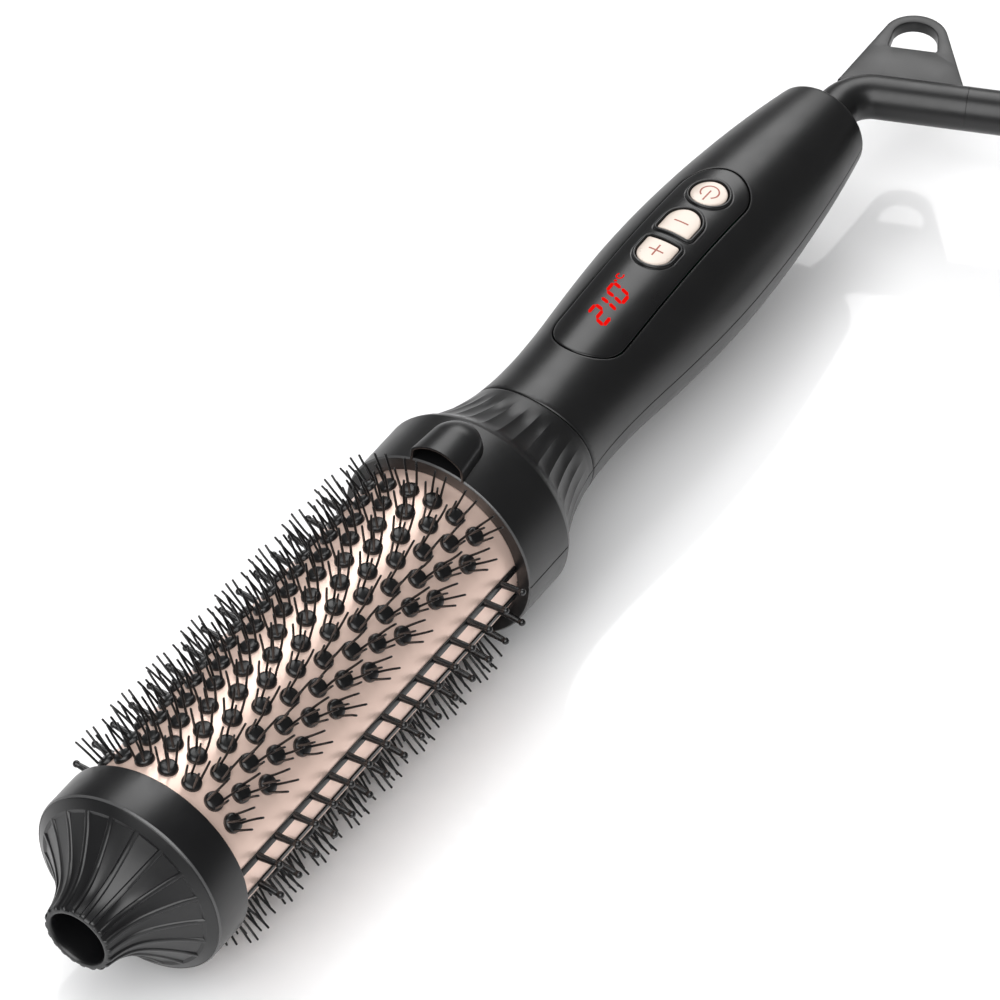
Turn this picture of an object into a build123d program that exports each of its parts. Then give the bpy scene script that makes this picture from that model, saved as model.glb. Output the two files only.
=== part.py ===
from build123d import *
import os
from math import sin, cos, tan, atan2, radians, sqrt, pi, hypot

os.makedirs("parts", exist_ok=True)

# ---------------------------------------------------------------- driving dimensions (mm)
# stations run along the brush axis from the tip (0) towards the cord
TIP_MOUTH_R = 7.3          # outside of the trumpet mouth, without its ribs
TIP_BORE_R = 6.1           # open socket in the tip
TIP_BORE_L = 14.0
RING_R = 21.3              # widest band of the tip cap
RING_FRONT = 16.6
RING_BACK = 26.2
FLANGE_R = 18.5
RIB_COUNT = 20
RIB_W = 1.1

BARREL_R = 19.0            # 38 mm barrel
BARREL_WALL = 1.5
BARREL_FRONT = 20.0
BARREL_BACK = 131.0

COLLAR_FRONT = 123.6
COLLAR_R = 22.4
COLLAR_BAND_BACK = 137.8
NECK_END = 157.0
HANDLE_START = 157.3
HANDLE_END = 277.1
WALL = 2.0

ROW_STEP = 8.25            # degrees between bristle rows
ROWS_EACH_SIDE = 6         # 13 rows on each half
NUB_PITCH = 11.60
NUB_COUNT = 8
NUB_S0 = 31.05             # first nub of the odd rows
NUB_S1 = 36.70             # first nub of the even rows
NUB_R = 1.95
NUB_HOLE_R = 2.05
NUB_TOP = 20.2
BRISTLE_R = 0.25
BRISTLE_TIP = 26.1         # height of the bristle tips over the axis
ROOT_DX, ROOT_DY = 1.2, 1.05
TIP_DX, TIP_DY = 1.8, 1.4

PIN_PITCH = 6.103
PIN_COUNT = 15
PIN_S0 = 118.35
RAIL_ANGLE = 11.6          # each rail, off the side plane
RAIL_W = 1.6
RAIL_TOP = 19.45
PIN_TIP = 24.1
PIN_TIP_ANGLE = 10.5
PIN_R0, PIN_R1, BALL_R = 0.75, 0.62, 0.75

PANEL_S0, PANEL_S1, PANEL_W = 173.9, 238.5, 16.6
PANEL_T = 1.7
POWER_S, POWER_R = 229.05, 3.5
MINUS_S0, MINUS_S1 = 214.1, 222.0
PLUS_S0, PLUS_S1 = 203.2, 210.8
KEY_HALF = 3.85
KEY_TRAVEL = 0.6

ELBOW_S = 290.8            # corner of the cord elbow
ELBOW_R = 4.95
ELBOW_TURN = 68.6          # degrees off the brush axis
ELBOW_BEND = 9.0
ELBOW_OUT = 26.0           # straight part of the elbow after its corner
TAB_T = 3.0
SLEEVE_END = 62.0
CORD_R = 3.1

# profile of the grip: station, radius
GRIP = [(HANDLE_START, 15.15), (161.0, 14.74), (164.2, 14.46), (167.3, 14.34), (172.0, 14.28), (177.0, 14.44), (183.0, 14.79),
        (189.5, 15.34), (196.0, 15.87), (202.5, 16.3), (209.0, 16.62), (215.5, 16.75), (222.0, 16.72), (228.5, 16.52),
        (235.0, 16.2), (242.0, 15.72), (249.0, 15.06), (256.0, 14.3), (263.0, 13.4), (270.0, 12.35), (HANDLE_END, 11.12)]
NECK = [(COLLAR_BAND_BACK, COLLAR_R), (139.0, 21.85), (140.4, 20.9), (142.0, 19.92), (143.8, 19.08), (146.0, 18.2), (148.6, 17.24),
        (151.4, 16.43), (154.2, 15.76), (NECK_END, 15.2)]

# the frame: origin under the middle of the brush, which lies on its bristles
TILT = radians(90 - ELBOW_TURN)
SD = (sin(TILT), -cos(TILT))       # along the cord sleeve
HD = (cos(TILT), sin(TILT))        # across it, away from the grip
TAB_C = (11.4, 20.85)              # centre of the hang tab's round end, along and across the sleeve
TAB_R = 7.32
X_END = ELBOW_S + SD[0] * TAB_C[0] + HD[0] * TAB_C[1] + TAB_R
X0 = X_END / 2
lean = hypot(TIP_DX - ROOT_DX, TIP_DY - ROOT_DY) / (BRISTLE_TIP - NUB_TOP)
ZC = BRISTLE_TIP + BRISTLE_R * sin(lean)
print(f"overall length {X_END:.2f}  axis height {ZC:.3f}")


def X(s):
    return s - X0


def P(s, r):
    return (X(s), ZC + r)


AX = Axis((0, 0, ZC), (1, 0, 0))
TOPCUT = Plane.XY.offset(ZC)


def save(part, name):
    part.label = name
    export_step(part, f"parts/{name}.step")


def R_at(s):
    for (a, ra), (b, rb) in zip(GRIP, GRIP[1:]):
        if a <= s <= b:
            return ra + (rb - ra) * (s - a) / (b - a)
    return GRIP[-1][1]


# ================================================================ tip cap
TRUMPET = [(0.0, TIP_MOUTH_R), (2.4, 7.75), (4.8, 8.5), (7.3, 9.8), (9.6, 11.7), (11.8, 14.0), (13.8, 16.4), (15.4, FLANGE_R)]
with BuildPart() as tip_cap:
    with BuildSketch(Plane.XZ):
        with BuildLine():
            Spline(*[P(*p) for p in TRUMPET])
            Polyline(P(15.4, FLANGE_R), P(15.7, FLANGE_R + 0.25), P(16.6, RING_R - 0.45), P(17.1, RING_R), P(25.8, RING_R),
                     P(RING_BACK, RING_R - 0.4), P(RING_BACK, 19.1), P(18.0, 19.1), P(18.0, 1.6), P(15.95, 1.6),
                     P(15.95, 3.0), P(TIP_BORE_L, 3.0), P(TIP_BORE_L, TIP_BORE_R), P(0.0, TIP_BORE_R), P(0.0, TIP_MOUTH_R))
        make_face()
    revolve(axis=AX)
    # radial ribs down the trumpet, standing half a millimetre proud
    with BuildSketch(Plane.XZ) as rib:
        with BuildLine():
            Spline(*[P(a, b + 0.5) for a, b in TRUMPET])
            Polyline(P(15.4, FLANGE_R + 0.5), P(15.6, FLANGE_R + 0.5), P(15.6, 16.0), P(6.0, 7.0), P(0.0, 6.6),
                     P(0.0, TIP_MOUTH_R + 0.5))
        make_face()
    one_rib = extrude(rib.sketch, amount=RIB_W / 2, both=True, mode=Mode.PRIVATE)
    add([one_rib.rotate(AX, 360 / RIB_COUNT * i + 12) for i in range(RIB_COUNT)])
save(tip_cap.part, "tip_cap")

with BuildPart() as tip_plug:
    with BuildSketch(Plane.XZ):
        with BuildLine():
            Polyline(P(18.05, 1.55), P(18.05, 17.4), P(24.0, 17.4), P(24.0, 5.0), P(26.5, 5.0), P(26.5, 1.55), close=True)
        make_face()
    revolve(axis=AX)
save(tip_plug.part, "tip_plug")

with BuildPart() as tip_screw:
    with BuildSketch(Plane.XZ):
        with BuildLine():
            Polyline(P(14.15, 0), P(14.15, 2.2), P(14.55, 2.75), P(15.9, 2.75), P(15.9, 1.5), P(21.0, 1.5), P(21.0, 0), close=True)
        make_face()
    revolve(axis=AX)
    with BuildSketch(Plane((X(14.15), 0, ZC), x_dir=(0, 1, 0), z_dir=(-1, 0, 0))):
        Rectangle(3.4, 0.7)
        Rectangle(0.7, 3.4)
    extrude(amount=-0.9, mode=Mode.SUBTRACT)
save(tip_screw.part, "tip_screw")

# ================================================================ barrel and what fills its holes
row_angles = [ROW_STEP * i for i in range(-ROWS_EACH_SIDE, ROWS_EACH_SIDE + 1)]


def row_stations(i):
    s0 = NUB_S0 if i % 2 == 0 else NUB_S1
    return [s0 + NUB_PITCH * k for k in range(NUB_COUNT)]


with BuildPart() as barrel_tube:
    with BuildSketch(Plane.XZ):
        with BuildLine():
            Polyline(P(BARREL_FRONT, BARREL_R - BARREL_WALL), P(BARREL_FRONT, BARREL_R), P(BARREL_BACK, BARREL_R),
                     P(BARREL_BACK, BARREL_R - BARREL_WALL), close=True)
        make_face()
    revolve(axis=AX)
    drills = []
    for i, a in enumerate(row_angles):
        for s in row_stations(i + 1 if ROWS_EACH_SIDE % 2 else i):
            drill = Cylinder(NUB_HOLE_R, 6, mode=Mode.PRIVATE).moved(Location((X(s), 0, ZC + BARREL_R)))
            for half in (0, 180):
                drills.append(drill.rotate(AX, a + half))
    add(drills, mode=Mode.SUBTRACT)
    slot = Box(97.3, RAIL_W + 0.1, 6, mode=Mode.PRIVATE).moved(Location((X(74.9), 0, ZC + BARREL_R)))
    add([slot.rotate(AX, side + d) for side in (90, -90) for d in (RAIL_ANGLE, -RAIL_ANGLE)], mode=Mode.SUBTRACT)
save(barrel_tube.part, "barrel_tube")

# one bristle nub with its four splayed bristles, standing on the liner
with BuildPart() as nub:
    with BuildSketch(Plane.XZ):
        with BuildLine():
            Polyline((0, ZC + 16.9), (NUB_R, ZC + 16.9), (NUB_R, ZC + NUB_TOP - 0.35), (NUB_R - 0.35, ZC + NUB_TOP),
                     (0, ZC + NUB_TOP), close=True)
        make_face()
    revolve(axis=Axis.Z)
    for ix in (-1, 1):
        for iy in (-1, 1):
            root = Vector(ix * ROOT_DX, iy * ROOT_DY, ZC + NUB_TOP - 0.5)
            tip = Vector(ix * TIP_DX, iy * TIP_DY, ZC + BRISTLE_TIP)
            with BuildSketch(Plane(origin=root, z_dir=tip - root)):
                Circle(BRISTLE_R)
            extrude(amount=(tip - root).length)

mats = {}
for name, half in (("bristle_mat_upper", 0), ("bristle_mat_lower", 180)):
    with BuildPart() as mat:
        with BuildSketch(Plane.XZ):
            with BuildLine():
                Polyline(P(27.0, 16.5), P(27.0, 17.4), P(122.9, 17.4), P(122.9, 16.5), close=True)
            make_face()
        revolve(axis=AX, revolution_arc=112)
        liner = mat.part.rotate(AX, -56)
    with BuildPart() as mat:
        add(liner)
        tufts = []
        for i, a in enumerate(row_angles):
            for s in row_stations(i + 1 if ROWS_EACH_SIDE % 2 else i):
                tufts.append(nub.part.moved(Location((X(s), 0, 0))).rotate(AX, a))
        add(tufts)
    turned = mat.part.rotate(AX, half)
    mats[name] = turned
    save(turned, name)

# comb strips: a curved web under the barrel, two rails through its slots and ball-ended pins
with BuildPart() as pin:
    with BuildSketch(Plane.XZ):
        with BuildLine():
            Polyline((0, 0), (PIN_R0, 0), (PIN_R1, 5.0), (0, 5.0), close=True)
        make_face()
    revolve(axis=Axis.Z)
    with Locations((0, 0, 5.2)):
        Sphere(BALL_R)


def comb(side, name):
    with BuildPart() as web:
        with BuildSketch(Plane.XZ):
            with BuildLine():
                Polyline(P(26.6, 16.5), P(26.6, 17.4), P(123.3, 17.4), P(123.3, 16.5), close=True)
            make_face()
        revolve(axis=AX, revolution_arc=32)
        turned_web = web.part.rotate(AX, -16)
    with BuildPart() as strip:
        add(turned_web)
        for d in (RAIL_ANGLE, -RAIL_ANGLE):
            rail = Box(97.1, RAIL_W, RAIL_TOP - 17.0, align=(Align.CENTER, Align.CENTER, Align.MIN), mode=Mode.PRIVATE)
            rail = rail.moved(Location((X(74.9), 0, ZC + 17.0))).rotate(AX, d)
            add(rail)
            pins = []
            for k in range(PIN_COUNT):
                s = PIN_S0 - PIN_PITCH * k
                sgn = 1 if d > 0 else -1
                root = Vector(X(s), -(RAIL_TOP - 0.3) * sin(radians(d)), ZC + (RAIL_TOP - 0.3) * cos(radians(d)))
                tip = Vector(X(s), -PIN_TIP * sin(radians(sgn * PIN_TIP_ANGLE)), ZC + PIN_TIP * cos(radians(PIN_TIP_ANGLE)))
                along = (tip - root).normalized()
                pl = Plane(origin=tip - along * 5.2, x_dir=(1, 0, 0), z_dir=along)
                pins.append(pl.location * pin.part)
            add(pins)
    done = strip.part.rotate(AX, side)
    save(done, name)
    return done


comb_right = comb(90, "pin_comb_right")
comb_left = comb(-90, "pin_comb_left")

# ================================================================ heater pack inside the barrel
for name, keep in (("heat_block_upper", Keep.TOP), ("heat_block_lower", Keep.BOTTOM)):
    with BuildPart() as block:
        with BuildSketch(Plane.YZ.offset(X(31.0))):
            with Locations((0, ZC)):
                Circle(16.35)
                Circle(2.4, mode=Mode.SUBTRACT)
                Rectangle(40, 3.2, mode=Mode.SUBTRACT)
                with Locations((0, 8.6), (0, -8.6)):
                    Circle(3.6, mode=Mode.SUBTRACT)
                with Locations((8.4, 7.4), (-8.4, 7.4), (8.4, -7.4), (-8.4, -7.4)):
                    Circle(2.6, mode=Mode.SUBTRACT)
        extrude(amount=86.0)
        split(bisect_by=TOPCUT, keep=keep)
    save(block.part, name)

with BuildPart() as ptc_heaters:
    for y in (-8.6, 8.6):
        for k in range(3):
            with Locations((X(45.0 + 28.0 * k), y, ZC)):
                Box(26.0, 10.0, 2.0)
save(ptc_heaters.part, "ptc_heaters")

with BuildPart() as mica_sheets:
    for y in (-8.6, 8.6):
        for z in (1.3, -1.3):
            with Locations((X(73.5), y, ZC + z)):
                Box(84.0, 11.0, 0.5)
save(mica_sheets.part, "mica_sheets")

with BuildPart() as tie_rod:
    with BuildSketch(Plane.YZ.offset(X(21.1))):
        with Locations((0, ZC)):
            Circle(1.5)
    extrude(amount=117.4)
save(tie_rod.part, "tie_rod")

# ring of heat-proof plastic that carries the rear end of the barrel in the collar
with BuildPart() as barrel_seat:
    with BuildSketch(Plane.XZ):
        with BuildLine():
            Polyline(P(126.2, 19.05), P(126.2, 20.2), P(134.6, 20.2), P(134.6, 1.6), P(131.1, 1.6), P(131.1, 19.05), close=True)
        make_face()
    revolve(axis=AX)
    with BuildSketch(Plane.YZ.offset(X(130.0))):
        with Locations((6.5, ZC), (-6.5, ZC)):
            Circle(2.0)
    extrude(amount=6, mode=Mode.SUBTRACT)
save(barrel_seat.part, "barrel_seat")

with BuildPart() as tie_nut:
    with BuildSketch(Plane.YZ.offset(X(134.7))):
        with Locations((0, ZC)):
            RegularPolygon(3.1, 6)
            Circle(1.52, mode=Mode.SUBTRACT)
    extrude(amount=2.6)
save(tie_nut.part, "tie_nut")

with BuildPart() as ntc_sensor:
    with BuildSketch(Plane.YZ.offset(X(84.0))):
        with Locations((0, ZC + 8.6)):
            Circle(1.5)
    extrude(amount=12)
    with BuildSketch(Plane.YZ.offset(X(96.0))):
        with Locations((0, ZC + 8.6)):
            Circle(0.7)
    extrude(amount=20)
save(ntc_sensor.part, "ntc_sensor")

with BuildPart() as thermal_fuse:
    with BuildSketch(Plane.YZ.offset(X(90.0))):
        with Locations((0, ZC - 8.6)):
            Circle(2.1)
    extrude(amount=12)
    with BuildSketch(Plane.YZ.offset(X(102.0))):
        with Locations((0, ZC - 8.6)):
            Circle(0.6)
    extrude(amount=14)
save(thermal_fuse.part, "thermal_fuse")


def wire(points, r, radii=3.0):
    """a round lead along straight runs joined by tangent arcs"""
    with BuildPart() as w:
        with BuildLine() as path:
            FilletPolyline(*points, radius=radii)
        with BuildSketch(Plane(origin=path.line @ 0, z_dir=path.line % 0)):
            Circle(r)
        sweep()
    return w.part


leads = [wire([(X(117.05), 6.5 * q, ZC), (X(150.0), 6.5 * q, ZC), (X(164.0), 5.6 * q, ZC + 1.6), (X(176.0), 5.6 * q, ZC + 1.6),
               (X(176.0), 5.6 * q, ZC + 5.98)], 0.9, 1.8) for q in (1, -1)]
with BuildPart() as heater_leads:
    add(leads)
save(heater_leads.part, "heater_leads")

# ================================================================ collar and neck, two half shells
neck_in = [(s, r - WALL) for s, r in NECK]
with BuildPart() as collar:
    with BuildSketch(Plane.XZ):
        with BuildLine():
            Polyline(P(COLLAR_FRONT, 19.1), P(COLLAR_FRONT, 21.9), P(COLLAR_FRONT + 0.4, 22.3), P(COLLAR_BAND_BACK, COLLAR_R))
            Spline(*[P(*p) for p in NECK])
            Polyline(P(NECK_END, 15.2), P(NECK_END, 15.2 - WALL))
            Spline(*[P(*p) for p in reversed(neck_in)])
            Polyline(P(COLLAR_BAND_BACK, COLLAR_R - WALL), P(COLLAR_BAND_BACK, 20.3), P(126.1, 20.3), P(126.1, 19.1),
                     P(COLLAR_FRONT, 19.1))
        make_face()
    revolve(axis=AX)

# the bonnet over the ion outlet: straight sides that close in a little, a round end and a crowned top
HOOD_FOOT = 19.1           # heights over the brush axis
HOOD_TOP = 27.05
HOOD_WALL = 0.8


def hood_form(inset, front):
    """solid form of the bonnet, all faces moved in by inset; it starts at the station front"""
    w0, w1, end, top = 6.43 - inset, 5.7 - inset, 5.7 - inset, HOOD_TOP - inset
    mid = X(COLLAR_FRONT + 6.7)
    with BuildPart() as form:
        with BuildSketch(Plane.XY.offset(ZC + HOOD_FOOT)):
            with BuildLine():
                Polyline((mid, -w1), (X(front), -w0), (X(front), w0), (mid, w1))
                ThreePointArc((mid, w1), (mid + end, 0), (mid, -w1))
            make_face()
        extrude(amount=10)
        with BuildSketch(Plane.YZ.offset(X(front - 1))):
            with BuildLine():
                Polyline((w0 - 0.75, ZC + 24.2 - inset), (w0 + 0.02, ZC + 21.4), (w0 + 0.02, ZC + HOOD_FOOT - 1), (-w0 - 0.02, ZC + HOOD_FOOT - 1),
                         (-w0 - 0.02, ZC + 21.4), (-w0 + 0.75, ZC + 24.2 - inset))
                ThreePointArc((-w0 + 0.75, ZC + 24.2 - inset), (0, ZC + top), (w0 - 0.75, ZC + 24.2 - inset))
            make_face()
        extrude(amount=20, mode=Mode.INTERSECT)
        with BuildSketch(Plane.XZ.offset(-10)):
            with BuildLine():
                Polyline((X(COLLAR_FRONT + 12.45) - inset, ZC + 21.0), (X(COLLAR_FRONT + 12.45) - inset, ZC + HOOD_FOOT - 1),
                         (X(front), ZC + HOOD_FOOT - 1), (X(front), ZC + top), (X(COLLAR_FRONT + 7.5), ZC + top))
                EllipticalCenterArc((X(COLLAR_FRONT + 7.5), ZC + 21.0), 4.95 - inset, top - 21.0, start_angle=0, arc_size=90)
            make_face()
        extrude(amount=20, mode=Mode.INTERSECT)
    return form.part


hood_body = hood_form(0.0, COLLAR_FRONT)
hood_space = hood_form(HOOD_WALL, COLLAR_FRONT - 1)
with BuildPart() as hood_blob:
    add(hood_body)
    with Locations((X(COLLAR_FRONT + 8), 0, ZC + 20.4)):
        Box(24, 24, 20, align=(Align.CENTER, Align.CENTER, Align.MAX), mode=Mode.SUBTRACT)

with BuildPart() as ion_hood:
    add(hood_blob.part)
    add(hood_space, mode=Mode.SUBTRACT)
    floor_piece = hood_blob.part & Box(16, 14, 0.6, align=(Align.MIN, Align.CENTER, Align.MIN), mode=Mode.PRIVATE).moved(
        Location((X(COLLAR_FRONT), 0, ZC + 20.4)))
    add(floor_piece)
    with Locations((X(132.6), 0, ZC + 20.7)):
        Cylinder(1.1, 2, mode=Mode.SUBTRACT)
save(ion_hood.part, "ion_hood")

NEEDLE_Z = 21.6
with BuildPart() as ion_needle_holder:
    with Locations((X(132.6), 0, ZC + 20.42)):
        Cylinder(1.05, 1.9, align=(Align.CENTER, Align.CENTER, Align.MIN))
    with BuildSketch(Plane.YZ.offset(X(131.0))):
        with Locations((0, ZC + NEEDLE_Z)):
            Circle(0.36)
    extrude(amount=2.2, mode=Mode.SUBTRACT)
save(ion_needle_holder.part, "ion_needle_holder")

with BuildPart() as ion_needle:
    with BuildSketch(Plane.XZ):
        with BuildLine():
            Polyline((X(125.6), ZC + NEEDLE_Z), (X(127.2), ZC + NEEDLE_Z + 0.35), (X(132.9), ZC + NEEDLE_Z + 0.35),
                     (X(132.9), ZC + NEEDLE_Z), close=True)
        make_face()
    revolve(axis=Axis((0, 0, ZC + NEEDLE_Z), (1, 0, 0)))
save(ion_needle.part, "ion_needle")

ion_lead = wire([(X(135.9), 0, ZC + 19.3), (X(142.0), 0, ZC + 15.0), (X(151.0), 3.2, ZC - 4.5), (X(158.0), 5.2, ZC - 6.0),
                 (X(179.9), 5.2, ZC - 6.0)], 0.6, 2.5)
ion_lead.label = "ion_lead"
export_step(ion_lead, "parts/ion_lead.step")

for name, keep in (("collar_upper_shell", Keep.TOP), ("collar_lower_shell", Keep.BOTTOM)):
    with BuildPart() as shell:
        add(collar.part)
        split(bisect_by=TOPCUT, keep=keep)
        if keep == Keep.TOP:
            add(hood_blob.part, mode=Mode.SUBTRACT)
    save(shell.part, name)

# ================================================================ grip, two half shells
grip_in = [(s, r - WALL) for s, r in GRIP if 161.0 <= s <= 263.0]
with BuildPart() as grip:
    with BuildSketch(Plane.XZ):
        with BuildLine():
            Spline(*[P(*p) for p in GRIP])
            Polyline(P(HANDLE_END, 11.12), P(HANDLE_END, 5.6), P(274.5, 5.6), P(274.5, 8.6), P(266.0, 8.6), P(266.0, 9.6),
                     P(263.0, 11.4))
            Spline(*[P(*p) for p in reversed(grip_in)])
            Polyline(P(161.0, 12.74), P(150.5, 11.2), P(150.5, 12.5), P(157.15, 13.1), P(HANDLE_START, 13.15),
                     P(HANDLE_START, 15.15))
        make_face()
    revolve(axis=AX)

# a solid grip-shaped blank, and skins of it, used to trim the panel and the keys to the curve of the grip


def grip_solid(dr, s0=HANDLE_START, s1=HANDLE_END):
    pts = [(s, r + dr) for s, r in GRIP if s0 <= s <= s1]
    with BuildPart() as g:
        with BuildSketch(Plane.XZ):
            with BuildLine():
                Spline(*[P(*p) for p in pts])
                Polyline(P(*pts[-1]), P(pts[-1][0], 0), P(pts[0][0], 0), P(*pts[0]))
            make_face()
        revolve(axis=AX)
    return g.part


full_grip = grip_solid(0.0, 167.0, 249.5)
under_panel = grip_solid(-PANEL_T, 167.0, 249.5)
under_recess = grip_solid(-PANEL_T - 0.05, 167.0, 249.5)
lip_level = grip_solid(0.45, 167.0, 249.5)
key_level = grip_solid(0.35, 167.0, 249.5)


def stadium(s0, s1, w):
    with BuildSketch(Plane.XY.offset(ZC + 3)) as sk:
        with Locations((X((s0 + s1) / 2), 0)):
            SlotOverall(s1 - s0, w)
    return sk.sketch


def key_outline(s_flat, s_round, half, grow=0.0, z=3.0):
    """a D-shaped key: flat at one end, half round at the other"""
    d = 1 if s_round > s_flat else -1
    h = half + grow
    c = s_round - d * half
    f = s_flat - d * grow
    with BuildSketch(Plane.XY.offset(ZC + z)) as sk:
        with BuildLine():
            Line((X(c), h), (X(f), h))
            Line((X(f), h), (X(f), -h))
            Line((X(f), -h), (X(c), -h))
            ThreePointArc((X(c), -h), (X(c + d * h), 0), (X(c), h))
        make_face()
        corner = [v for v in sk.sketch.vertices() if abs(v.X - X(f)) < 1e-6]
        fillet(corner, 0.45)
    return sk.sketch


def disc(s, r, z=3.0):
    with BuildSketch(Plane.XY.offset(ZC + z)) as sk:
        with Locations((X(s), 0)):
            Circle(r)
    return sk.sketch


BOARD_TOP = 7.6
post_low = BOARD_TOP + 0.02
with BuildPart() as handle_upper_shell:
    add(grip.part)
    split(bisect_by=TOPCUT, keep=Keep.TOP)
    # recess for the panel with a ledge round it
    with BuildPart(mode=Mode.PRIVATE) as recess:
        extrude(stadium(PANEL_S0, PANEL_S1, PANEL_W), amount=30)
        add(under_recess, mode=Mode.SUBTRACT)
    add(recess.part, mode=Mode.SUBTRACT)
    extrude(stadium(PANEL_S0 + 1.6, PANEL_S1 - 1.6, PANEL_W - 3.2), amount=30, mode=Mode.SUBTRACT)
    # posts for the board and for the two shell screws
    posts = []
    for s, y, r, z0 in ((170.4, 0, 1.9, post_low), (241.6, 5.0, 1.7, post_low), (241.6, -5.0, 1.7, post_low),
                        (163.6, 0, 2.6, 0.05), (248.6, 0, 2.6, 0.05)):
        with BuildPart(mode=Mode.PRIVATE) as post:
            with BuildSketch(Plane.XY.offset(ZC + z0)):
                with Locations((X(s), y)):
                    Circle(r)
            extrude(amount=sqrt((R_at(s) - 0.8) ** 2 - (abs(y) + r) ** 2) - z0)
        posts.append(post.part)
    add(posts)
    for s in (163.6, 248.6):
        with BuildSketch(Plane.XY.offset(ZC)):
            with Locations((X(s), 0)):
                Circle(1.2)
        extrude(amount=8.2, mode=Mode.SUBTRACT)
    for s, y in ((170.4, 0), (241.6, 5.0), (241.6, -5.0)):
        with BuildSketch(Plane.XY.offset(ZC + post_low - 0.1)):
            with Locations((X(s), y)):
                Circle(0.8)
        extrude(amount=3.6, mode=Mode.SUBTRACT)
save(handle_upper_shell.part, "handle_upper_shell")

with BuildPart() as handle_lower_shell:
    add(grip.part)
    split(bisect_by=TOPCUT, keep=Keep.BOTTOM)
    bosses = []
    for s in (163.6, 248.6):
        with BuildPart(mode=Mode.PRIVATE) as boss:
            with BuildSketch(Plane.XY.offset(ZC - 0.05)):
                with Locations((X(s), 0)):
                    Circle(3.9)
            extrude(amount=-(sqrt((R_at(s) - 0.8) ** 2 - 3.9 ** 2) - 0.05))
        bosses.append(boss.part)
    add(bosses)
    for s in (163.6, 248.6):
        with BuildSketch(Plane.XY.offset(ZC - 8.5)):
            with Locations((X(s), 0)):
                Circle(2.6)
        extrude(amount=-10, mode=Mode.SUBTRACT)
        with BuildSketch(Plane.XY.offset(ZC)):
            with Locations((X(s), 0)):
                Circle(1.3)
        extrude(amount=-9, mode=Mode.SUBTRACT)
save(handle_lower_shell.part, "handle_lower_shell")

with BuildPart() as shell_screws:
    for s in (163.6, 248.6):
        with Locations((X(s), 0, ZC - 8.55)):
            Cylinder(2.4, 1.6, align=(Align.CENTER, Align.CENTER, Align.MAX))
        with Locations((X(s), 0, ZC - 8.6)):
            Cylinder(1.15, 16.0, align=(Align.CENTER, Align.CENTER, Align.MIN))
        with Locations((X(s), 0, ZC - 10.15)):
            Box(3.2, 0.6, 0.8, align=(Align.CENTER, Align.CENTER, Align.MIN), mode=Mode.SUBTRACT)
            Box(0.6, 3.2, 0.8, align=(Align.CENTER, Align.CENTER, Align.MIN), mode=Mode.SUBTRACT)
save(shell_screws.part, "shell_screws")

# ================================================================ lit digits: 210 and a degree sign with C
DIG_H, DIG_W, SEG_W, SLANT = 5.0, 2.75, 0.62, 0.28


def seg_poly(points):
    with BuildSketch(Plane.XY.offset(ZC + 3)) as sk:
        with BuildLine():
            Polyline(*[(X(s), y) for s, y in points], close=True)
        make_face()
    return sk.sketch


def seg_h(s0, y, w=DIG_W):
    """a bar along the reading direction, centred at height y of the digit"""
    g = 0.22
    a, b, h = s0 + g, s0 + w - g, SEG_W / 2
    sh = SLANT * (y + DIG_H / 2)
    return seg_poly([(a + sh, y), (a + h + sh, y + h), (b - h + sh, y + h), (b + sh, y), (b - h + sh, y - h), (a + h + sh, y - h)])


def seg_v(s0, y0, y1):
    """an upright bar between two heights of the digit"""
    g, h = 0.22, SEG_W / 2

    def q(ds, y):
        return (s0 + ds + SLANT * (y + DIG_H / 2), y)
    a, b = y0 + g, y1 - g
    return seg_poly([q(0, a), q(h, a + h), q(h, b - h), q(0, b), q(-h, b - h), q(-h, a + h)])


H2 = DIG_H / 2 - SEG_W / 2
segs = []
s2 = 183.75
segs += [seg_h(s2, H2), seg_v(s2 + DIG_W, 0, H2), seg_h(s2, 0), seg_v(s2, -H2, 0), seg_h(s2, -H2)]
s1 = 188.75
segs += [seg_v(s1, 0, H2), seg_v(s1, -H2, 0)]
s0_ = 191.2
segs += [seg_h(s0_, H2), seg_v(s0_ + DIG_W, 0, H2), seg_v(s0_ + DIG_W, -H2, 0), seg_h(s0_, -H2), seg_v(s0_, -H2, 0), seg_v(s0_, 0, H2)]
with BuildSketch(Plane.XY.offset(ZC + 3)) as degree:
    with Locations((X(196.15), 2.3)):
        Circle(0.42)
with BuildSketch(Plane.XY.offset(ZC + 3)) as big_c:
    with Locations((X(197.75), 1.75)):
        Circle(1.0)
        Circle(0.62, mode=Mode.SUBTRACT)
    with Locations((X(198.35), 1.55)):
        Rectangle(1.3, 0.75, mode=Mode.SUBTRACT)
segs += [degree.sketch, big_c.sketch]
blanks = [extrude(s, amount=20) for s in segs]
with BuildPart() as display_digits:
    add(blanks)
    add(full_grip, mode=Mode.INTERSECT)
    add(under_panel, mode=Mode.SUBTRACT)
save(display_digits.part, "display_digits")

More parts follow.
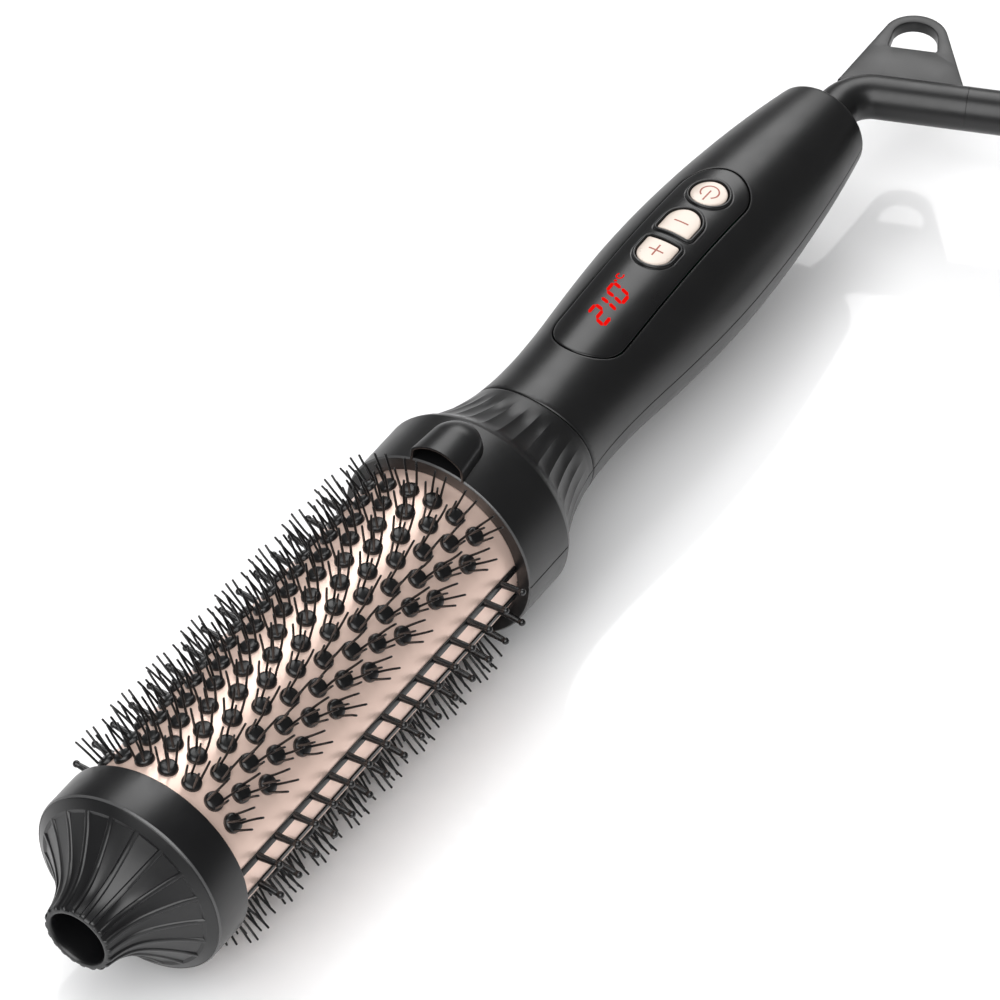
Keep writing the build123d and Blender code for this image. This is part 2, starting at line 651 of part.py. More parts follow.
# ================================================================ panel and keys
CLEAR = 0.2
with BuildPart() as control_panel:
    extrude(stadium(PANEL_S0 + 0.12, PANEL_S1 - 0.12, PANEL_W - 0.24), amount=30)
    add(full_grip, mode=Mode.INTERSECT)
    add(under_panel, mode=Mode.SUBTRACT)
    # raised lips round the three keys
    with BuildPart(mode=Mode.PRIVATE) as lips:
        extrude(disc(POWER_S, POWER_R + 0.85), amount=30)
        extrude(key_outline(MINUS_S0, MINUS_S1, KEY_HALF, 0.85), amount=30)
        extrude(key_outline(PLUS_S1, PLUS_S0, KEY_HALF, 0.85), amount=30)
        add(lip_level, mode=Mode.INTERSECT)
        add(under_panel, mode=Mode.SUBTRACT)
    add(lips.part)
    extrude(disc(POWER_S, POWER_R + CLEAR), amount=30, mode=Mode.SUBTRACT)
    extrude(key_outline(MINUS_S0, MINUS_S1, KEY_HALF, CLEAR), amount=30, mode=Mode.SUBTRACT)
    extrude(key_outline(PLUS_S1, PLUS_S0, KEY_HALF, CLEAR), amount=30, mode=Mode.SUBTRACT)
    add(display_digits.part, mode=Mode.SUBTRACT)
save(control_panel.part, "control_panel")

KEY_FLANGE_TOP, KEY_BOTTOM = 13.2, 12.5


def key(name, outline, flange):
    with BuildPart() as k:
        extrude(outline(0.0, KEY_BOTTOM), amount=8)
        add(key_level, mode=Mode.INTERSECT)
        extrude(outline(flange, KEY_BOTTOM), amount=KEY_FLANGE_TOP - KEY_BOTTOM)
    save(k.part, name)
    return k.part


power_button = key("power_button", lambda g, z: disc(POWER_S, POWER_R + g, z), 0.7)
minus_button = key("minus_button", lambda g, z: key_outline(MINUS_S0, MINUS_S1, KEY_HALF, g, z), 0.6)
plus_button = key("plus_button", lambda g, z: key_outline(PLUS_S1, PLUS_S0, KEY_HALF, g, z), 0.6)

with BuildPart() as key_pad:
    with BuildSketch(Plane.XY.offset(ZC + 11.35)):
        with Locations((X(218.0), 0)):
            RectangleRounded(33.0, 9.4, 1.5)
    extrude(amount=0.45)
save(key_pad.part, "key_pad")

SWITCH_S = (207.4, 217.6, POWER_S)
with BuildPart() as tact_switches:
    for s in SWITCH_S:
        with Locations((X(s), 0, ZC + BOARD_TOP)):
            Box(6.0, 6.0, 3.2, align=(Align.CENTER, Align.CENTER, Align.MIN))
        with Locations((X(s), 0, ZC + BOARD_TOP + 3.2)):
            Cylinder(1.6, 0.5, align=(Align.CENTER, Align.CENTER, Align.MIN))
save(tact_switches.part, "tact_switches")

with BuildPart() as display_module:
    with Locations((X(190.6), 0, ZC + BOARD_TOP)):
        Box(18.4, 8.2, 3.9, align=(Align.CENTER, Align.CENTER, Align.MIN))
save(display_module.part, "display_module")

with BuildPart() as main_board:
    with BuildSketch(Plane.XY.offset(ZC + BOARD_TOP - 1.6)):
        with Locations((X(206.0), 0)):
            RectangleRounded(77.6, 16.4, 1.0)
        for s, y in ((170.4, 0), (241.6, 5.0), (241.6, -5.0)):
            with Locations((X(s), y)):
                Circle(1.15, mode=Mode.SUBTRACT)
    extrude(amount=1.6)
save(main_board.part, "main_board")

with BuildPart() as board_screws:
    for s, y in ((170.4, 0), (241.6, 5.0), (241.6, -5.0)):
        with Locations((X(s), y, ZC + BOARD_TOP - 1.62)):
            Cylinder(1.7, 1.1, align=(Align.CENTER, Align.CENTER, Align.MAX))
        with Locations((X(s), y, ZC + BOARD_TOP - 1.7)):
            Cylinder(0.75, 4.6, align=(Align.CENTER, Align.CENTER, Align.MIN))
save(board_screws.part, "board_screws")

with BuildPart() as triac:
    with Locations((X(232.0), 0, ZC + 1.3)):
        Box(10.0, 9.0, 4.6, align=(Align.CENTER, Align.CENTER, Align.MIN))
save(triac.part, "triac")

with BuildPart() as film_capacitor:
    with Locations((X(226.0), 0, ZC - 9.0)):
        Box(16.0, 8.0, 8.6, align=(Align.CENTER, Align.CENTER, Align.MIN))
    fillet(film_capacitor.edges().filter_by(Axis.Z), 1.0)
    with Locations((X(220.0), 2.4, ZC - 1.0), (X(220.0), -2.4, ZC - 1.0)):
        Cylinder(0.4, 6.98, align=(Align.CENTER, Align.CENTER, Align.MIN))
save(film_capacitor.part, "film_capacitor")

with BuildPart() as ion_generator:
    with Locations((X(197.0), 0, ZC - 9.4)):
        Box(34.0, 13.0, 8.8, align=(Align.CENTER, Align.CENTER, Align.MIN))
    fillet(ion_generator.edges().filter_by(Axis.Z), 1.2)
    with Locations((X(184.0), 3.5, ZC - 1.0), (X(184.0), -3.5, ZC - 1.0), (X(210.0), 0, ZC - 1.0)):
        Cylinder(0.5, 6.98, align=(Align.CENTER, Align.CENTER, Align.MIN))
save(ion_generator.part, "ion_generator")

# ================================================================ cord swivel in the tail
with BuildPart() as swivel_bush:
    with BuildSketch(Plane.XZ):
        with BuildLine():
            Polyline(P(266.1, ELBOW_R + 0.06), P(266.1, 8.5), P(274.4, 8.5), P(274.4, ELBOW_R + 0.06), close=True)
        make_face()
    revolve(axis=AX)
save(swivel_bush.part, "swivel_bush")


def xy(along, across):
    """a point given along and across the sleeve, from the elbow's corner"""
    return (X(ELBOW_S) + SD[0] * along + HD[0] * across, SD[1] * along + HD[1] * across)


elbow_end = xy(ELBOW_OUT, 0)
with BuildPart() as swivel_elbow:
    with BuildLine() as bend:
        FilletPolyline((X(262.0), 0, ZC), (X(ELBOW_S), 0, ZC), (elbow_end[0], elbow_end[1], ZC), radius=ELBOW_BEND)
    with BuildSketch(Plane.YZ.offset(X(262.0))):
        with Locations((0, ZC)):
            Circle(ELBOW_R)
    sweep(path=bend.wire())
    # flange that keeps the swivel in the tail, and the slimmer nose that carries the slip rings
    with BuildSketch(Plane.YZ.offset(X(262.6))):
        with Locations((0, ZC)):
            Circle(7.2)
    extrude(amount=3.3)
    with BuildSketch(Plane.YZ.offset(X(254.0))):
        with Locations((0, ZC)):
            Circle(3.4)
    extrude(amount=8.2)
    # hang tab in the plane of the elbow
    with BuildSketch(Plane.XY.offset(ZC - TAB_T / 2)) as tab:
        left, right = xy(-3.4, 2.6), xy(25.4, 2.6)
        with BuildLine():
            c = xy(*TAB_C)

            def tangent(px, side):
                dx, dy = px[0] - c[0], px[1] - c[1]
                d = hypot(dx, dy)
                from_c = sqrt(d * d - TAB_R * TAB_R)
                ca, sa = TAB_R / d, side * from_c / d
                ux, uy = dx / d, dy / d
                return (c[0] + TAB_R * (ux * ca - uy * sa), c[1] + TAB_R * (ux * sa + uy * ca))
            tl, tr = tangent(left, -1), tangent(right, 1)
            far = xy(TAB_C[0], TAB_C[1] + TAB_R)
            Polyline(tl, left, right, tr)
            ThreePointArc(tr, far, tl)
        make_face()
    extrude(amount=TAB_T)
    with BuildSketch(Plane.XY.offset(ZC - TAB_T)) as eye:
        inner_r = TAB_R - 2.25
        with BuildLine():
            a0, a1 = xy(5.9, 16.2), xy(17.0, 16.2)
            b0, b1 = xy(TAB_C[0] - inner_r, TAB_C[1] - 0.3), xy(TAB_C[0] + inner_r, TAB_C[1] - 0.3)
            Line(b0, a0)
            Line(a0, a1)
            Line(a1, b1)
            ThreePointArc(b1, xy(TAB_C[0], TAB_C[1] + inner_r), b0)
        make_face()
    extrude(amount=2 * TAB_T, mode=Mode.SUBTRACT)
    # bore for the inner cable
    with BuildLine() as bore_path:
        FilletPolyline((X(254.0), 0, ZC), (X(ELBOW_S), 0, ZC), (elbow_end[0], elbow_end[1], ZC), radius=ELBOW_BEND)
    with BuildSketch(Plane.YZ.offset(X(254.0))):
        with Locations((0, ZC)):
            Circle(2.4)
    sweep(path=bore_path.wire(), mode=Mode.SUBTRACT)
save(swivel_elbow.part, "swivel_elbow")

with BuildPart() as swivel_inner_cable:
    cab_end = xy(ELBOW_OUT - 0.1, 0)
    with BuildLine() as cab:
        FilletPolyline((X(256.0), 0, ZC), (X(ELBOW_S), 0, ZC), (cab_end[0], cab_end[1], ZC), radius=ELBOW_BEND)
    with BuildSketch(Plane.YZ.offset(X(256.0))):
        with Locations((0, ZC)):
            Circle(2.3)
    sweep(path=cab.wire())
save(swivel_inner_cable.part, "swivel_inner_cable")

with BuildPart() as slip_rings:
    for s in (255.0, 258.6):
        with BuildSketch(Plane.YZ.offset(X(s))):
            with Locations((0, ZC)):
                Circle(4.2)
                Circle(3.45, mode=Mode.SUBTRACT)
        extrude(amount=1.8)
save(slip_rings.part, "slip_rings")

with BuildPart() as slip_contacts:
    for s in (255.9, 259.5):
        with Locations((X(s), 0, ZC - 4.6)):
            Box(1.4, 9.0, 0.4, align=(Align.CENTER, Align.CENTER, Align.MAX))
save(slip_contacts.part, "slip_contacts")

with BuildPart() as contact_block:
    with Locations((X(258.0), 0, ZC - 5.02)):
        Box(6.8, 13.2, 3.0, align=(Align.CENTER, Align.CENTER, Align.MAX))
    with Locations((X(258.0), 0, ZC - 7.9)):
        Box(6.8, 4.0, 3.2, align=(Align.CENTER, Align.CENTER, Align.MAX))
save(contact_block.part, "contact_block")

mains = [wire([(X(254.55), 5.6 * q, ZC - 6.5), (X(237.9), 5.6 * q, ZC - 6.5), (X(237.9), 5.6 * q, ZC + 5.98)], 0.8, 2.5) for q in (1, -1)]
with BuildPart() as mains_leads:
    add(mains)
save(mains_leads.part, "mains_leads")

# ================================================================ strain relief, cord, coil and plug
sleeve_a, sleeve_b = ELBOW_OUT, SLEEVE_END
with BuildPart() as strain_relief:
    o = xy(0, 0)
    pl = Plane(origin=(o[0], o[1], ZC), x_dir=(SD[0], SD[1], 0), z_dir=(HD[0], HD[1], 0))
    with BuildSketch(pl):
        with BuildLine():
            Polyline((sleeve_a, 0), (sleeve_a, ELBOW_R), (44.0, ELBOW_R), (sleeve_b - 0.5, 3.9), (sleeve_b, 3.5), (sleeve_b, 0), close=True)
        make_face()
    revolve(axis=Axis((o[0], o[1], ZC), (SD[0], SD[1], 0)))
    # flex grooves in the tapered end
    for k in range(5):
        d = 45.5 + 3.1 * k
        r_here = ELBOW_R - (d - 44.0) / (sleeve_b - 0.5 - 44.0) * (ELBOW_R - 3.9)
        with BuildSketch(pl):
            with BuildLine():
                Polyline((d, r_here - 0.9), (d, 6.0), (d + 1.2, 6.0), (d + 1.2, r_here - 0.9), close=True)
            make_face()
        revolve(axis=Axis((o[0], o[1], ZC), (SD[0], SD[1], 0)), mode=Mode.SUBTRACT)
save(strain_relief.part, "strain_relief")

COIL_MID = 37.0                      # mean radius of the put-away turns
COIL_W, COIL_H, COIL_LIFT = 24.8, 11.3, 0.13   # four turns side by side under three
ROW_Z = (CORD_R, CORD_R + 5.37)      # heights of the lower and upper turns
DESCENT_A, DESCENT_L = 70.0, 60.0    # where the cord starts down to the floor along the sleeve's line, and over what length
LEAD_R = 40.0                        # the cord swings round to +X on this radius as it comes down
COIL_X = 240.0
LEAD_STUB = 26.0                     # straight run into the outer turn
R_IN = COIL_MID + 3 * CORD_R - 0.4   # outer turn of the lower row
R_OUT = COIL_MID + 2 * CORD_R        # outer turn of the upper row
lead_o = xy(DESCENT_A, 0)
lead_c = (lead_o[0] + HD[0] * LEAD_R, lead_o[1] + HD[1] * LEAD_R)
lead_turn = atan2(-SD[1], SD[0])
LEAD_Y = lead_c[1] - LEAD_R
COIL_C = (COIL_X, LEAD_Y + R_IN)
EXIT_ANGLE = 150.0
STUB = 32.0
PLUG_Z = 6.85


def lead_at(d):
    """place of the cord's axis d after the start of the descent"""
    z = ROW_Z[0] + (ZC - ROW_Z[0]) * (1 + cos(pi * min(d / DESCENT_L, 1.0))) / 2
    t = d / LEAD_R
    if t < lead_turn:
        return (lead_c[0] + LEAD_R * (SD[0] * sin(t) - HD[0] * cos(t)), lead_c[1] + LEAD_R * (SD[1] * sin(t) - HD[1] * cos(t)), z)
    return (lead_c[0] + d - lead_turn * LEAD_R, LEAD_Y, z)


sleeve_tip = xy(SLEEVE_END, 0)
ROUTE = [(sleeve_tip[0], sleeve_tip[1], ZC)] + [lead_at(DESCENT_L * k / 6) for k in range(7)] + [(COIL_X - LEAD_STUB, LEAD_Y, ROW_Z[0])]
print("cord route:", [tuple(round(v, 3) for v in p) for p in ROUTE])
print("coil centre:", tuple(round(v, 3) for v in COIL_C), "turn radii", R_IN, R_OUT)

ex_n = (cos(radians(EXIT_ANGLE)), sin(radians(EXIT_ANGLE)))
ex_t = (-ex_n[1], ex_n[0])


def exit_route(t, n, z):
    """from the exit point: t along the outgoing cord, n towards the inside of the turn"""
    return (COIL_C[0] + ex_n[0] * (R_OUT - n) + ex_t[0] * t, COIL_C[1] + ex_n[1] * (R_OUT - n) + ex_t[1] * t, z)


TAIL = [exit_route(*q) for q in ((STUB, 0, ROW_Z[1]), (STUB + 5, 0, ROW_Z[1]), (STUB + 13.66, -0.95, 8.3), (STUB + 21.9, -3.75, 7.8),
                                 (STUB + 29.35, -8.27, 7.2), (STUB + 35.64, -14.29, PLUG_Z), (STUB + 41.4, -21.2, PLUG_Z))]
print("cord tail:", [tuple(round(v, 3) for v in p) for p in TAIL])


def fillet_radii(points):
    out = []
    for p, q, r in zip(points, points[1:], points[2:]):
        a, b = Vector(*q) - Vector(*p), Vector(*r) - Vector(*q)
        turn = radians(a.get_angle(b))
        out.append(0.45 * min(a.length, b.length) / tan(turn / 2))
    return out


def tube(points, r):
    """a round cord along straight runs joined by tangent arcs"""
    bends = fillet_radii(points)
    print("bend radii", [round(q, 1) for q in bends])
    with BuildPart() as t:
        with BuildLine() as route:
            FilletPolyline(*points, radius=bends)
        with BuildSketch(Plane(origin=route.line @ 0, z_dir=route.line % 0)):
            Circle(r)
        sweep()
    length = route.wires()[0].length
    print(f"tube {length:.1f} mm long, {t.part.volume:.0f} mm3 against {pi * r * r * length:.0f}")
    return t.part


with BuildPart() as power_cord:
    add([tube(ROUTE, CORD_R), tube(TAIL, CORD_R)])
save(power_cord.part, "power_cord")

with BuildPart() as cord_coil:
    with BuildSketch(Plane(origin=(COIL_C[0], COIL_C[1], 0), x_dir=(1, 0, 0), z_dir=(0, -1, 0))) as section:
        with Locations((COIL_MID, COIL_LIFT + COIL_H / 2)):
            RectangleRounded(COIL_W, COIL_H, 2.9)
    revolve(axis=Axis((COIL_C[0], COIL_C[1], 0), (0, 0, 1)))
    # the straight ends that run into and out of the turns
    with BuildSketch(Plane(origin=(COIL_X - LEAD_STUB, LEAD_Y, ROW_Z[0]), x_dir=(0, 1, 0), z_dir=(1, 0, 0))):
        Circle(CORD_R)
    extrude(amount=LEAD_STUB)
    with BuildSketch(Plane(origin=exit_route(0, 0, ROW_Z[1]), x_dir=(ex_n[0], ex_n[1], 0), z_dir=(ex_t[0], ex_t[1], 0))):
        Circle(CORD_R)
    extrude(amount=STUB)
save(cord_coil.part, "cord_coil")

plug_o = Vector(*TAIL[-1])
plug_d = Vector(*TAIL[-1]) - Vector(*TAIL[-2])
plug_d = Vector(plug_d.X, plug_d.Y, 0).normalized()
plug_s = Vector(-plug_d.Y, plug_d.X, 0)
print("plug starts", tuple(round(v, 2) for v in plug_o), "and points", tuple(round(v, 4) for v in plug_d))
PIN_SPACING, PLUG_PIN_R, PLUG_PIN_L = 19.0, 2.0, 19.0
with BuildPart() as plug_body:
    flat = Plane(origin=(plug_o.X, plug_o.Y, 0.0), x_dir=(plug_d.X, plug_d.Y, 0), z_dir=(0, 0, 1))
    with BuildSketch(flat):
        with BuildLine():
            Polyline((12.0, 5.0), (20.0, 10.5), (30.0, 11.5), (47.0, 13.0), (47.0, -13.0), (30.0, -11.5), (20.0, -10.5), (12.0, -5.0), close=True)
        make_face()
    extrude(amount=13.7)
    fillet(plug_body.edges().filter_by(Axis.Z), 2.4)
    fillet(plug_body.faces().sort_by(Axis.Z)[-1].edges(), 1.8)
    fillet(plug_body.faces().sort_by(Axis.Z)[0].edges(), 1.8)
    axis_plane = Plane(origin=(plug_o.X, plug_o.Y, PLUG_Z), x_dir=(plug_d.X, plug_d.Y, 0), z_dir=(-plug_s.X, -plug_s.Y, 0))
    with BuildSketch(axis_plane):
        with BuildLine():
            Polyline((0.0, 0.0), (0.0, 3.7), (14.0, 5.0), (14.0, 0.0), close=True)
        make_face()
    revolve(axis=Axis((plug_o.X, plug_o.Y, PLUG_Z), (plug_d.X, plug_d.Y, 0)))
save(plug_body.part, "plug_body")

with BuildPart() as plug_pins:
    for q in (-1, 1):
        start = plug_o + plug_d * 47.0 + plug_s * (q * PIN_SPACING / 2)
        pin_plane = Plane(origin=(start.X, start.Y, PLUG_Z), x_dir=(plug_d.X, plug_d.Y, 0), z_dir=(-plug_s.X, -plug_s.Y, 0))
        with BuildSketch(pin_plane):
            with BuildLine():
                Polyline((0.0, 0.0), (0.0, PLUG_PIN_R), (PLUG_PIN_L - 1.0, PLUG_PIN_R), (PLUG_PIN_L, 1.0), (PLUG_PIN_L, 0.0), close=True)
            make_face()
        revolve(axis=Axis((start.X, start.Y, PLUG_Z), (plug_d.X, plug_d.Y, 0)))
        print("plug pin axis point", (round(start.X, 3), round(start.Y, 3), PLUG_Z))
save(plug_pins.part, "plug_pins")
print("eye:", [tuple(round(v, 2) for v in xy(a, b)) for a, b in ((5.9, 16.2), (17.0, 16.2), (11.4, 25.9))])
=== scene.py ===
import bpy, bmesh, math
import numpy as np
from mathutils import Vector, Matrix
from mathutils.geometry import delaunay_2d_cdt


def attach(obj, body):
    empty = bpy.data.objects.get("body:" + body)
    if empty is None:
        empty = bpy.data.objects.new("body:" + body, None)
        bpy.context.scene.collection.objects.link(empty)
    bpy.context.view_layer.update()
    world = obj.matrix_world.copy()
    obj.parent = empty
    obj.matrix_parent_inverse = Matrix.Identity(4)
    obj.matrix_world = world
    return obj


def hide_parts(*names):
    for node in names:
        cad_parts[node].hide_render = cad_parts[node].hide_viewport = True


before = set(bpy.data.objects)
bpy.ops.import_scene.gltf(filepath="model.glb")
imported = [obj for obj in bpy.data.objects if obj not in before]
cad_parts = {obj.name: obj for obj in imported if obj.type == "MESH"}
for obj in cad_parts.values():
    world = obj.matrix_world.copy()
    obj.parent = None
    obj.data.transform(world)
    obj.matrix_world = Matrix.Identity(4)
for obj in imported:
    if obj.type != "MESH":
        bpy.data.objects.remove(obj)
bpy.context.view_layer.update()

MM = 0.001
pi, sin, cos, tan, radians, sqrt = math.pi, math.sin, math.cos, math.tan, math.radians, math.sqrt

# ------------------------------------------------------------------ shared numbers, millimetres
ELBOW_S, ELBOW_TURN, ELBOW_BEND, ELBOW_R, ELBOW_OUT = 290.8, 68.6, 9.0, 4.95, 26.0
TILT = radians(90 - ELBOW_TURN)
SD = np.array([sin(TILT), -cos(TILT), 0.0])      # along the cord sleeve
HD = np.array([cos(TILT), sin(TILT), 0.0])       # across it
TAB_C, TAB_R = (11.4, 20.85), 7.32
X0 = (ELBOW_S + SD[0] * TAB_C[0] + HD[0] * TAB_C[1] + TAB_R) / 2
ZC = 26.1 + 0.25 * sin(math.hypot(0.6, 0.35) / 5.9)
AXIS = np.array([0.0, 0.0, ZC])

GRIP = [(157.3, 15.15), (161.0, 14.74), (164.2, 14.46), (167.3, 14.34), (172.0, 14.28), (177.0, 14.44), (183.0, 14.79),
        (189.5, 15.34), (196.0, 15.87), (202.5, 16.3), (209.0, 16.62), (215.5, 16.75), (222.0, 16.72), (228.5, 16.52),
        (235.0, 16.2), (242.0, 15.72), (249.0, 15.06), (256.0, 14.3), (263.0, 13.4), (270.0, 12.35), (277.1, 11.12)]
NECK = [(137.8, 22.4), (139.0, 21.85), (140.4, 20.9), (142.0, 19.92), (143.8, 19.08), (146.0, 18.2), (148.6, 17.24), (151.4, 16.43), (154.2, 15.76), (157.0, 15.2)]


def smooth_curve(points):
    """a natural cubic spline r(s) through the points"""
    x = np.array([p[0] for p in points], float)
    y = np.array([p[1] for p in points], float)
    n = len(x)
    h = np.diff(x)
    A = np.zeros((n, n)); b = np.zeros(n)
    A[0, 0] = A[-1, -1] = 1
    for i in range(1, n - 1):
        A[i, i - 1], A[i, i], A[i, i + 1] = h[i - 1], 2 * (h[i - 1] + h[i]), h[i]
        b[i] = 6 * ((y[i + 1] - y[i]) / h[i] - (y[i] - y[i - 1]) / h[i - 1])
    m = np.linalg.solve(A, b)

    def f(q):
        q = np.asarray(q, float)
        k = np.clip(np.searchsorted(x, q) - 1, 0, n - 2)
        a, c = x[k + 1] - q, q - x[k]
        return (m[k] * a ** 3 + m[k + 1] * c ** 3) / (6 * h[k]) + (y[k] / h[k] - m[k] * h[k] / 6) * a + (y[k + 1] / h[k] - m[k + 1] * h[k] / 6) * c
    return f


grip_r = smooth_curve(GRIP)
neck_r = smooth_curve(NECK)


def body_r(s):
    """radius of the neck and the grip, one smooth run"""
    s = np.asarray(s, float)
    w = np.clip((s - 156.6) / 1.0, 0, 1)
    w = w * w * (3 - 2 * w)
    return neck_r(np.minimum(s, 157.6)) * (1 - w) + grip_r(np.maximum(s, 156.6)) * w


def joint_shift(s, a):
    """the joint line between neck and grip is bowed: it dips towards the head on top and draws back at the sides"""
    s = np.asarray(s, float)
    a = np.radians(np.asarray(a, float))
    near = np.where(s < 157.15, np.clip((s - 147.5) / 9.0, 0, 1), np.clip((168.5 - s) / 11.0, 0, 1))
    near = near * near * (3 - 2 * near)
    return (-0.45 + 2.65 * np.sin(a) ** 2) * near


def around(s, r, a):
    """station, radius and angle (0 at the panel, growing towards -Y) to a place in millimetres"""
    s, r, a = np.broadcast_arrays(np.asarray(s, float), np.asarray(r, float), np.radians(np.asarray(a, float)))
    return np.stack([s - X0, -r * np.sin(a), ZC + r * np.cos(a)], -1)


def sleeve_xy(along, across, z=0.0):
    p = np.array([ELBOW_S - X0, 0, ZC]) + SD * along + HD * across
    p[2] += z
    return p


# ------------------------------------------------------------------ camera first
cam_data = bpy.data.cameras.new("camera")
cam = bpy.data.objects.new("camera", cam_data)
bpy.context.scene.collection.objects.link(cam)
cam_data.sensor_width = 36.0
cam_data.lens = 185.23
cam_data.clip_start, cam_data.clip_end = 0.05, 20.0
ROLL_ABOUT_X = -1.3     # degrees the brush is turned about its own axis, taken up by the camera
c_right = Vector((0.54048, -0.84119, -0.01687))
c_up = Vector((0.59349, 0.36696, 0.71632))
c_back = Vector((-0.59637, -0.39717, 0.69757))
c_pos = Vector((-484.22, -420.29, 731.79))
spin = Matrix.Rotation(radians(ROLL_ABOUT_X), 3, 'X')
c_right, c_up, c_back, c_pos = spin @ c_right, spin @ c_up, spin @ c_back, spin @ c_pos
m = Matrix.Identity(4)
for i, v in enumerate((c_right, c_up, c_back)):
    for j in range(3):
        m[j][i] = v[j]
loc = (c_pos + Vector((-X0, 0, ZC))) * MM
m.translation = loc
cam.matrix_world = m
bpy.context.scene.camera = cam


# ------------------------------------------------------------------ materials
def new_mat(name):
    mat = bpy.data.materials.new(name)
    mat.use_nodes = True
    nt = mat.node_tree
    nt.nodes.clear()
    out = nt.nodes.new("ShaderNodeOutputMaterial")
    bsdf = nt.nodes.new("ShaderNodeBsdfPrincipled")
    nt.links.new(bsdf.outputs[0], out.inputs[0])
    return mat, nt, bsdf


def surface(name, c1, c2, rough=(0.35, 0.42), metal=0.0, ior=1.5, coat=0.0, coat_rough=0.15, tone_scale=60.0, rough_scale=180.0,
            bump=0.04, bump_scale=2200.0, bump_mm=0.02, stretch=(1, 1, 1), spec_tint=None, sheen=0.0, second_bump=None):
    """a moulded, painted or metal finish: two close tones, uneven roughness and a fine grain in the normal"""
    mat, nt, b = new_mat(name)
    N, L = nt.nodes.new, nt.links.new
    tc = N("ShaderNodeTexCoord")
    mp = N("ShaderNodeMapping"); mp.inputs["Scale"].default_value = stretch
    L(tc.outputs["Object"], mp.inputs["Vector"])
    tone = N("ShaderNodeTexNoise"); tone.inputs["Scale"].default_value = tone_scale; tone.inputs["Detail"].default_value = 3
    L(mp.outputs[0], tone.inputs["Vector"])
    mix = N("ShaderNodeMix"); mix.data_type = "RGBA"
    mix.inputs[6].default_value = (*c1, 1); mix.inputs[7].default_value = (*c2, 1)
    L(tone.outputs["Fac"], mix.inputs[0])
    L(mix.outputs[2], b.inputs["Base Color"])
    rn = N("ShaderNodeTexNoise"); rn.inputs["Scale"].default_value = rough_scale; rn.inputs["Detail"].default_value = 4
    L(mp.outputs[0], rn.inputs["Vector"])
    mr = N("ShaderNodeMapRange")
    mr.inputs["From Min"].default_value, mr.inputs["From Max"].default_value = 0.3, 0.7
    mr.inputs["To Min"].default_value, mr.inputs["To Max"].default_value = rough
    L(rn.outputs["Fac"], mr.inputs["Value"])
    L(mr.outputs[0], b.inputs["Roughness"])
    grain = N("ShaderNodeTexNoise"); grain.inputs["Scale"].default_value = bump_scale; grain.inputs["Detail"].default_value = 2
    L(mp.outputs[0], grain.inputs["Vector"])
    bp = N("ShaderNodeBump"); bp.inputs["Strength"].default_value = bump; bp.inputs["Distance"].default_value = bump_mm * MM
    L(grain.outputs["Fac"], bp.inputs["Height"])
    last = bp
    if second_bump:
        scale, strength, mm_, st = second_bump
        mp2 = N("ShaderNodeMapping"); mp2.inputs["Scale"].default_value = st
        L(tc.outputs["Object"], mp2.inputs["Vector"])
        g2 = N("ShaderNodeTexNoise"); g2.inputs["Scale"].default_value = scale; g2.inputs["Detail"].default_value = 3
        L(mp2.outputs[0], g2.inputs["Vector"])
        b2 = N("ShaderNodeBump"); b2.inputs["Strength"].default_value = strength; b2.inputs["Distance"].default_value = mm_ * MM
        L(g2.outputs["Fac"], b2.inputs["Height"])
        L(bp.outputs[0], b2.inputs["Normal"])
        last = b2
    L(last.outputs[0], b.inputs["Normal"])
    b.inputs["Metallic"].default_value = metal
    b.inputs["IOR"].default_value = ior
    b.inputs["Coat Weight"].default_value = coat
    b.inputs["Coat Roughness"].default_value = coat_rough
    return mat


BLACK = surface("satin_black_shell", (0.0040, 0.0040, 0.0043), (0.0052, 0.0052, 0.0056), rough=(0.33, 0.38), bump=0.05)
CAP = surface("satin_black_cap", (0.0040, 0.0040, 0.0045), (0.0052, 0.0052, 0.0058), rough=(0.30, 0.36), bump=0.05)
# painted highlight: the narrow chamfers get a black about fifteen times lighter than the shell, standing in for the
# bright line their edges catch
PAINTED_EDGE_HIGHLIGHT = surface("painted_highlight_bevel", (0.060, 0.060, 0.061), (0.072, 0.072, 0.073), rough=(0.24, 0.28), bump=0.02)
PANEL = surface("panel_black", (0.0038, 0.0038, 0.0041), (0.0048, 0.0048, 0.0052), rough=(0.27, 0.31), bump=0.02)
ELBOW = surface("elbow_black", (0.0045, 0.0045, 0.0048), (0.0062, 0.0062, 0.0066), rough=(0.33, 0.40), bump=0.06)
ROSE = surface("rose_gold_barrel", (0.90, 0.665, 0.565), (0.94, 0.715, 0.615), rough=(0.34, 0.40), metal=0.50, bump=0.05, bump_scale=1600.0,
               second_bump=(700.0, 0.05, 0.03, (0.05, 1, 1)))
NYLON = surface("black_nylon", (0.0035, 0.0035, 0.0038), (0.0055, 0.0055, 0.0060), rough=(0.26, 0.36), bump=0.05, tone_scale=300)
PINS = surface("pin_nylon", (0.0035, 0.0035, 0.0038), (0.0055, 0.0055, 0.0060), rough=(0.22, 0.30), bump=0.03, tone_scale=300)
KEY = surface("pearl_rose_key", (0.60, 0.515, 0.445), (0.62, 0.535, 0.470), rough=(0.26, 0.32), metal=0.10, bump=0.03, coat=0.2)
ICON = surface("copper_symbol", (0.26, 0.052, 0.030), (0.32, 0.072, 0.044), rough=(0.38, 0.45), bump=0.02)
CORD = surface("cord_sheath", (0.012, 0.012, 0.013), (0.018, 0.018, 0.019), rough=(0.42, 0.55), bump=0.12, bump_scale=1500.0)
PLUG = surface("plug_moulding", (0.013, 0.013, 0.014), (0.019, 0.019, 0.020), rough=(0.40, 0.50), bump=0.10)
NICKEL = surface("nickel_pin", (0.74, 0.73, 0.70), (0.80, 0.79, 0.76), rough=(0.16, 0.24), metal=1.0, bump=0.02)
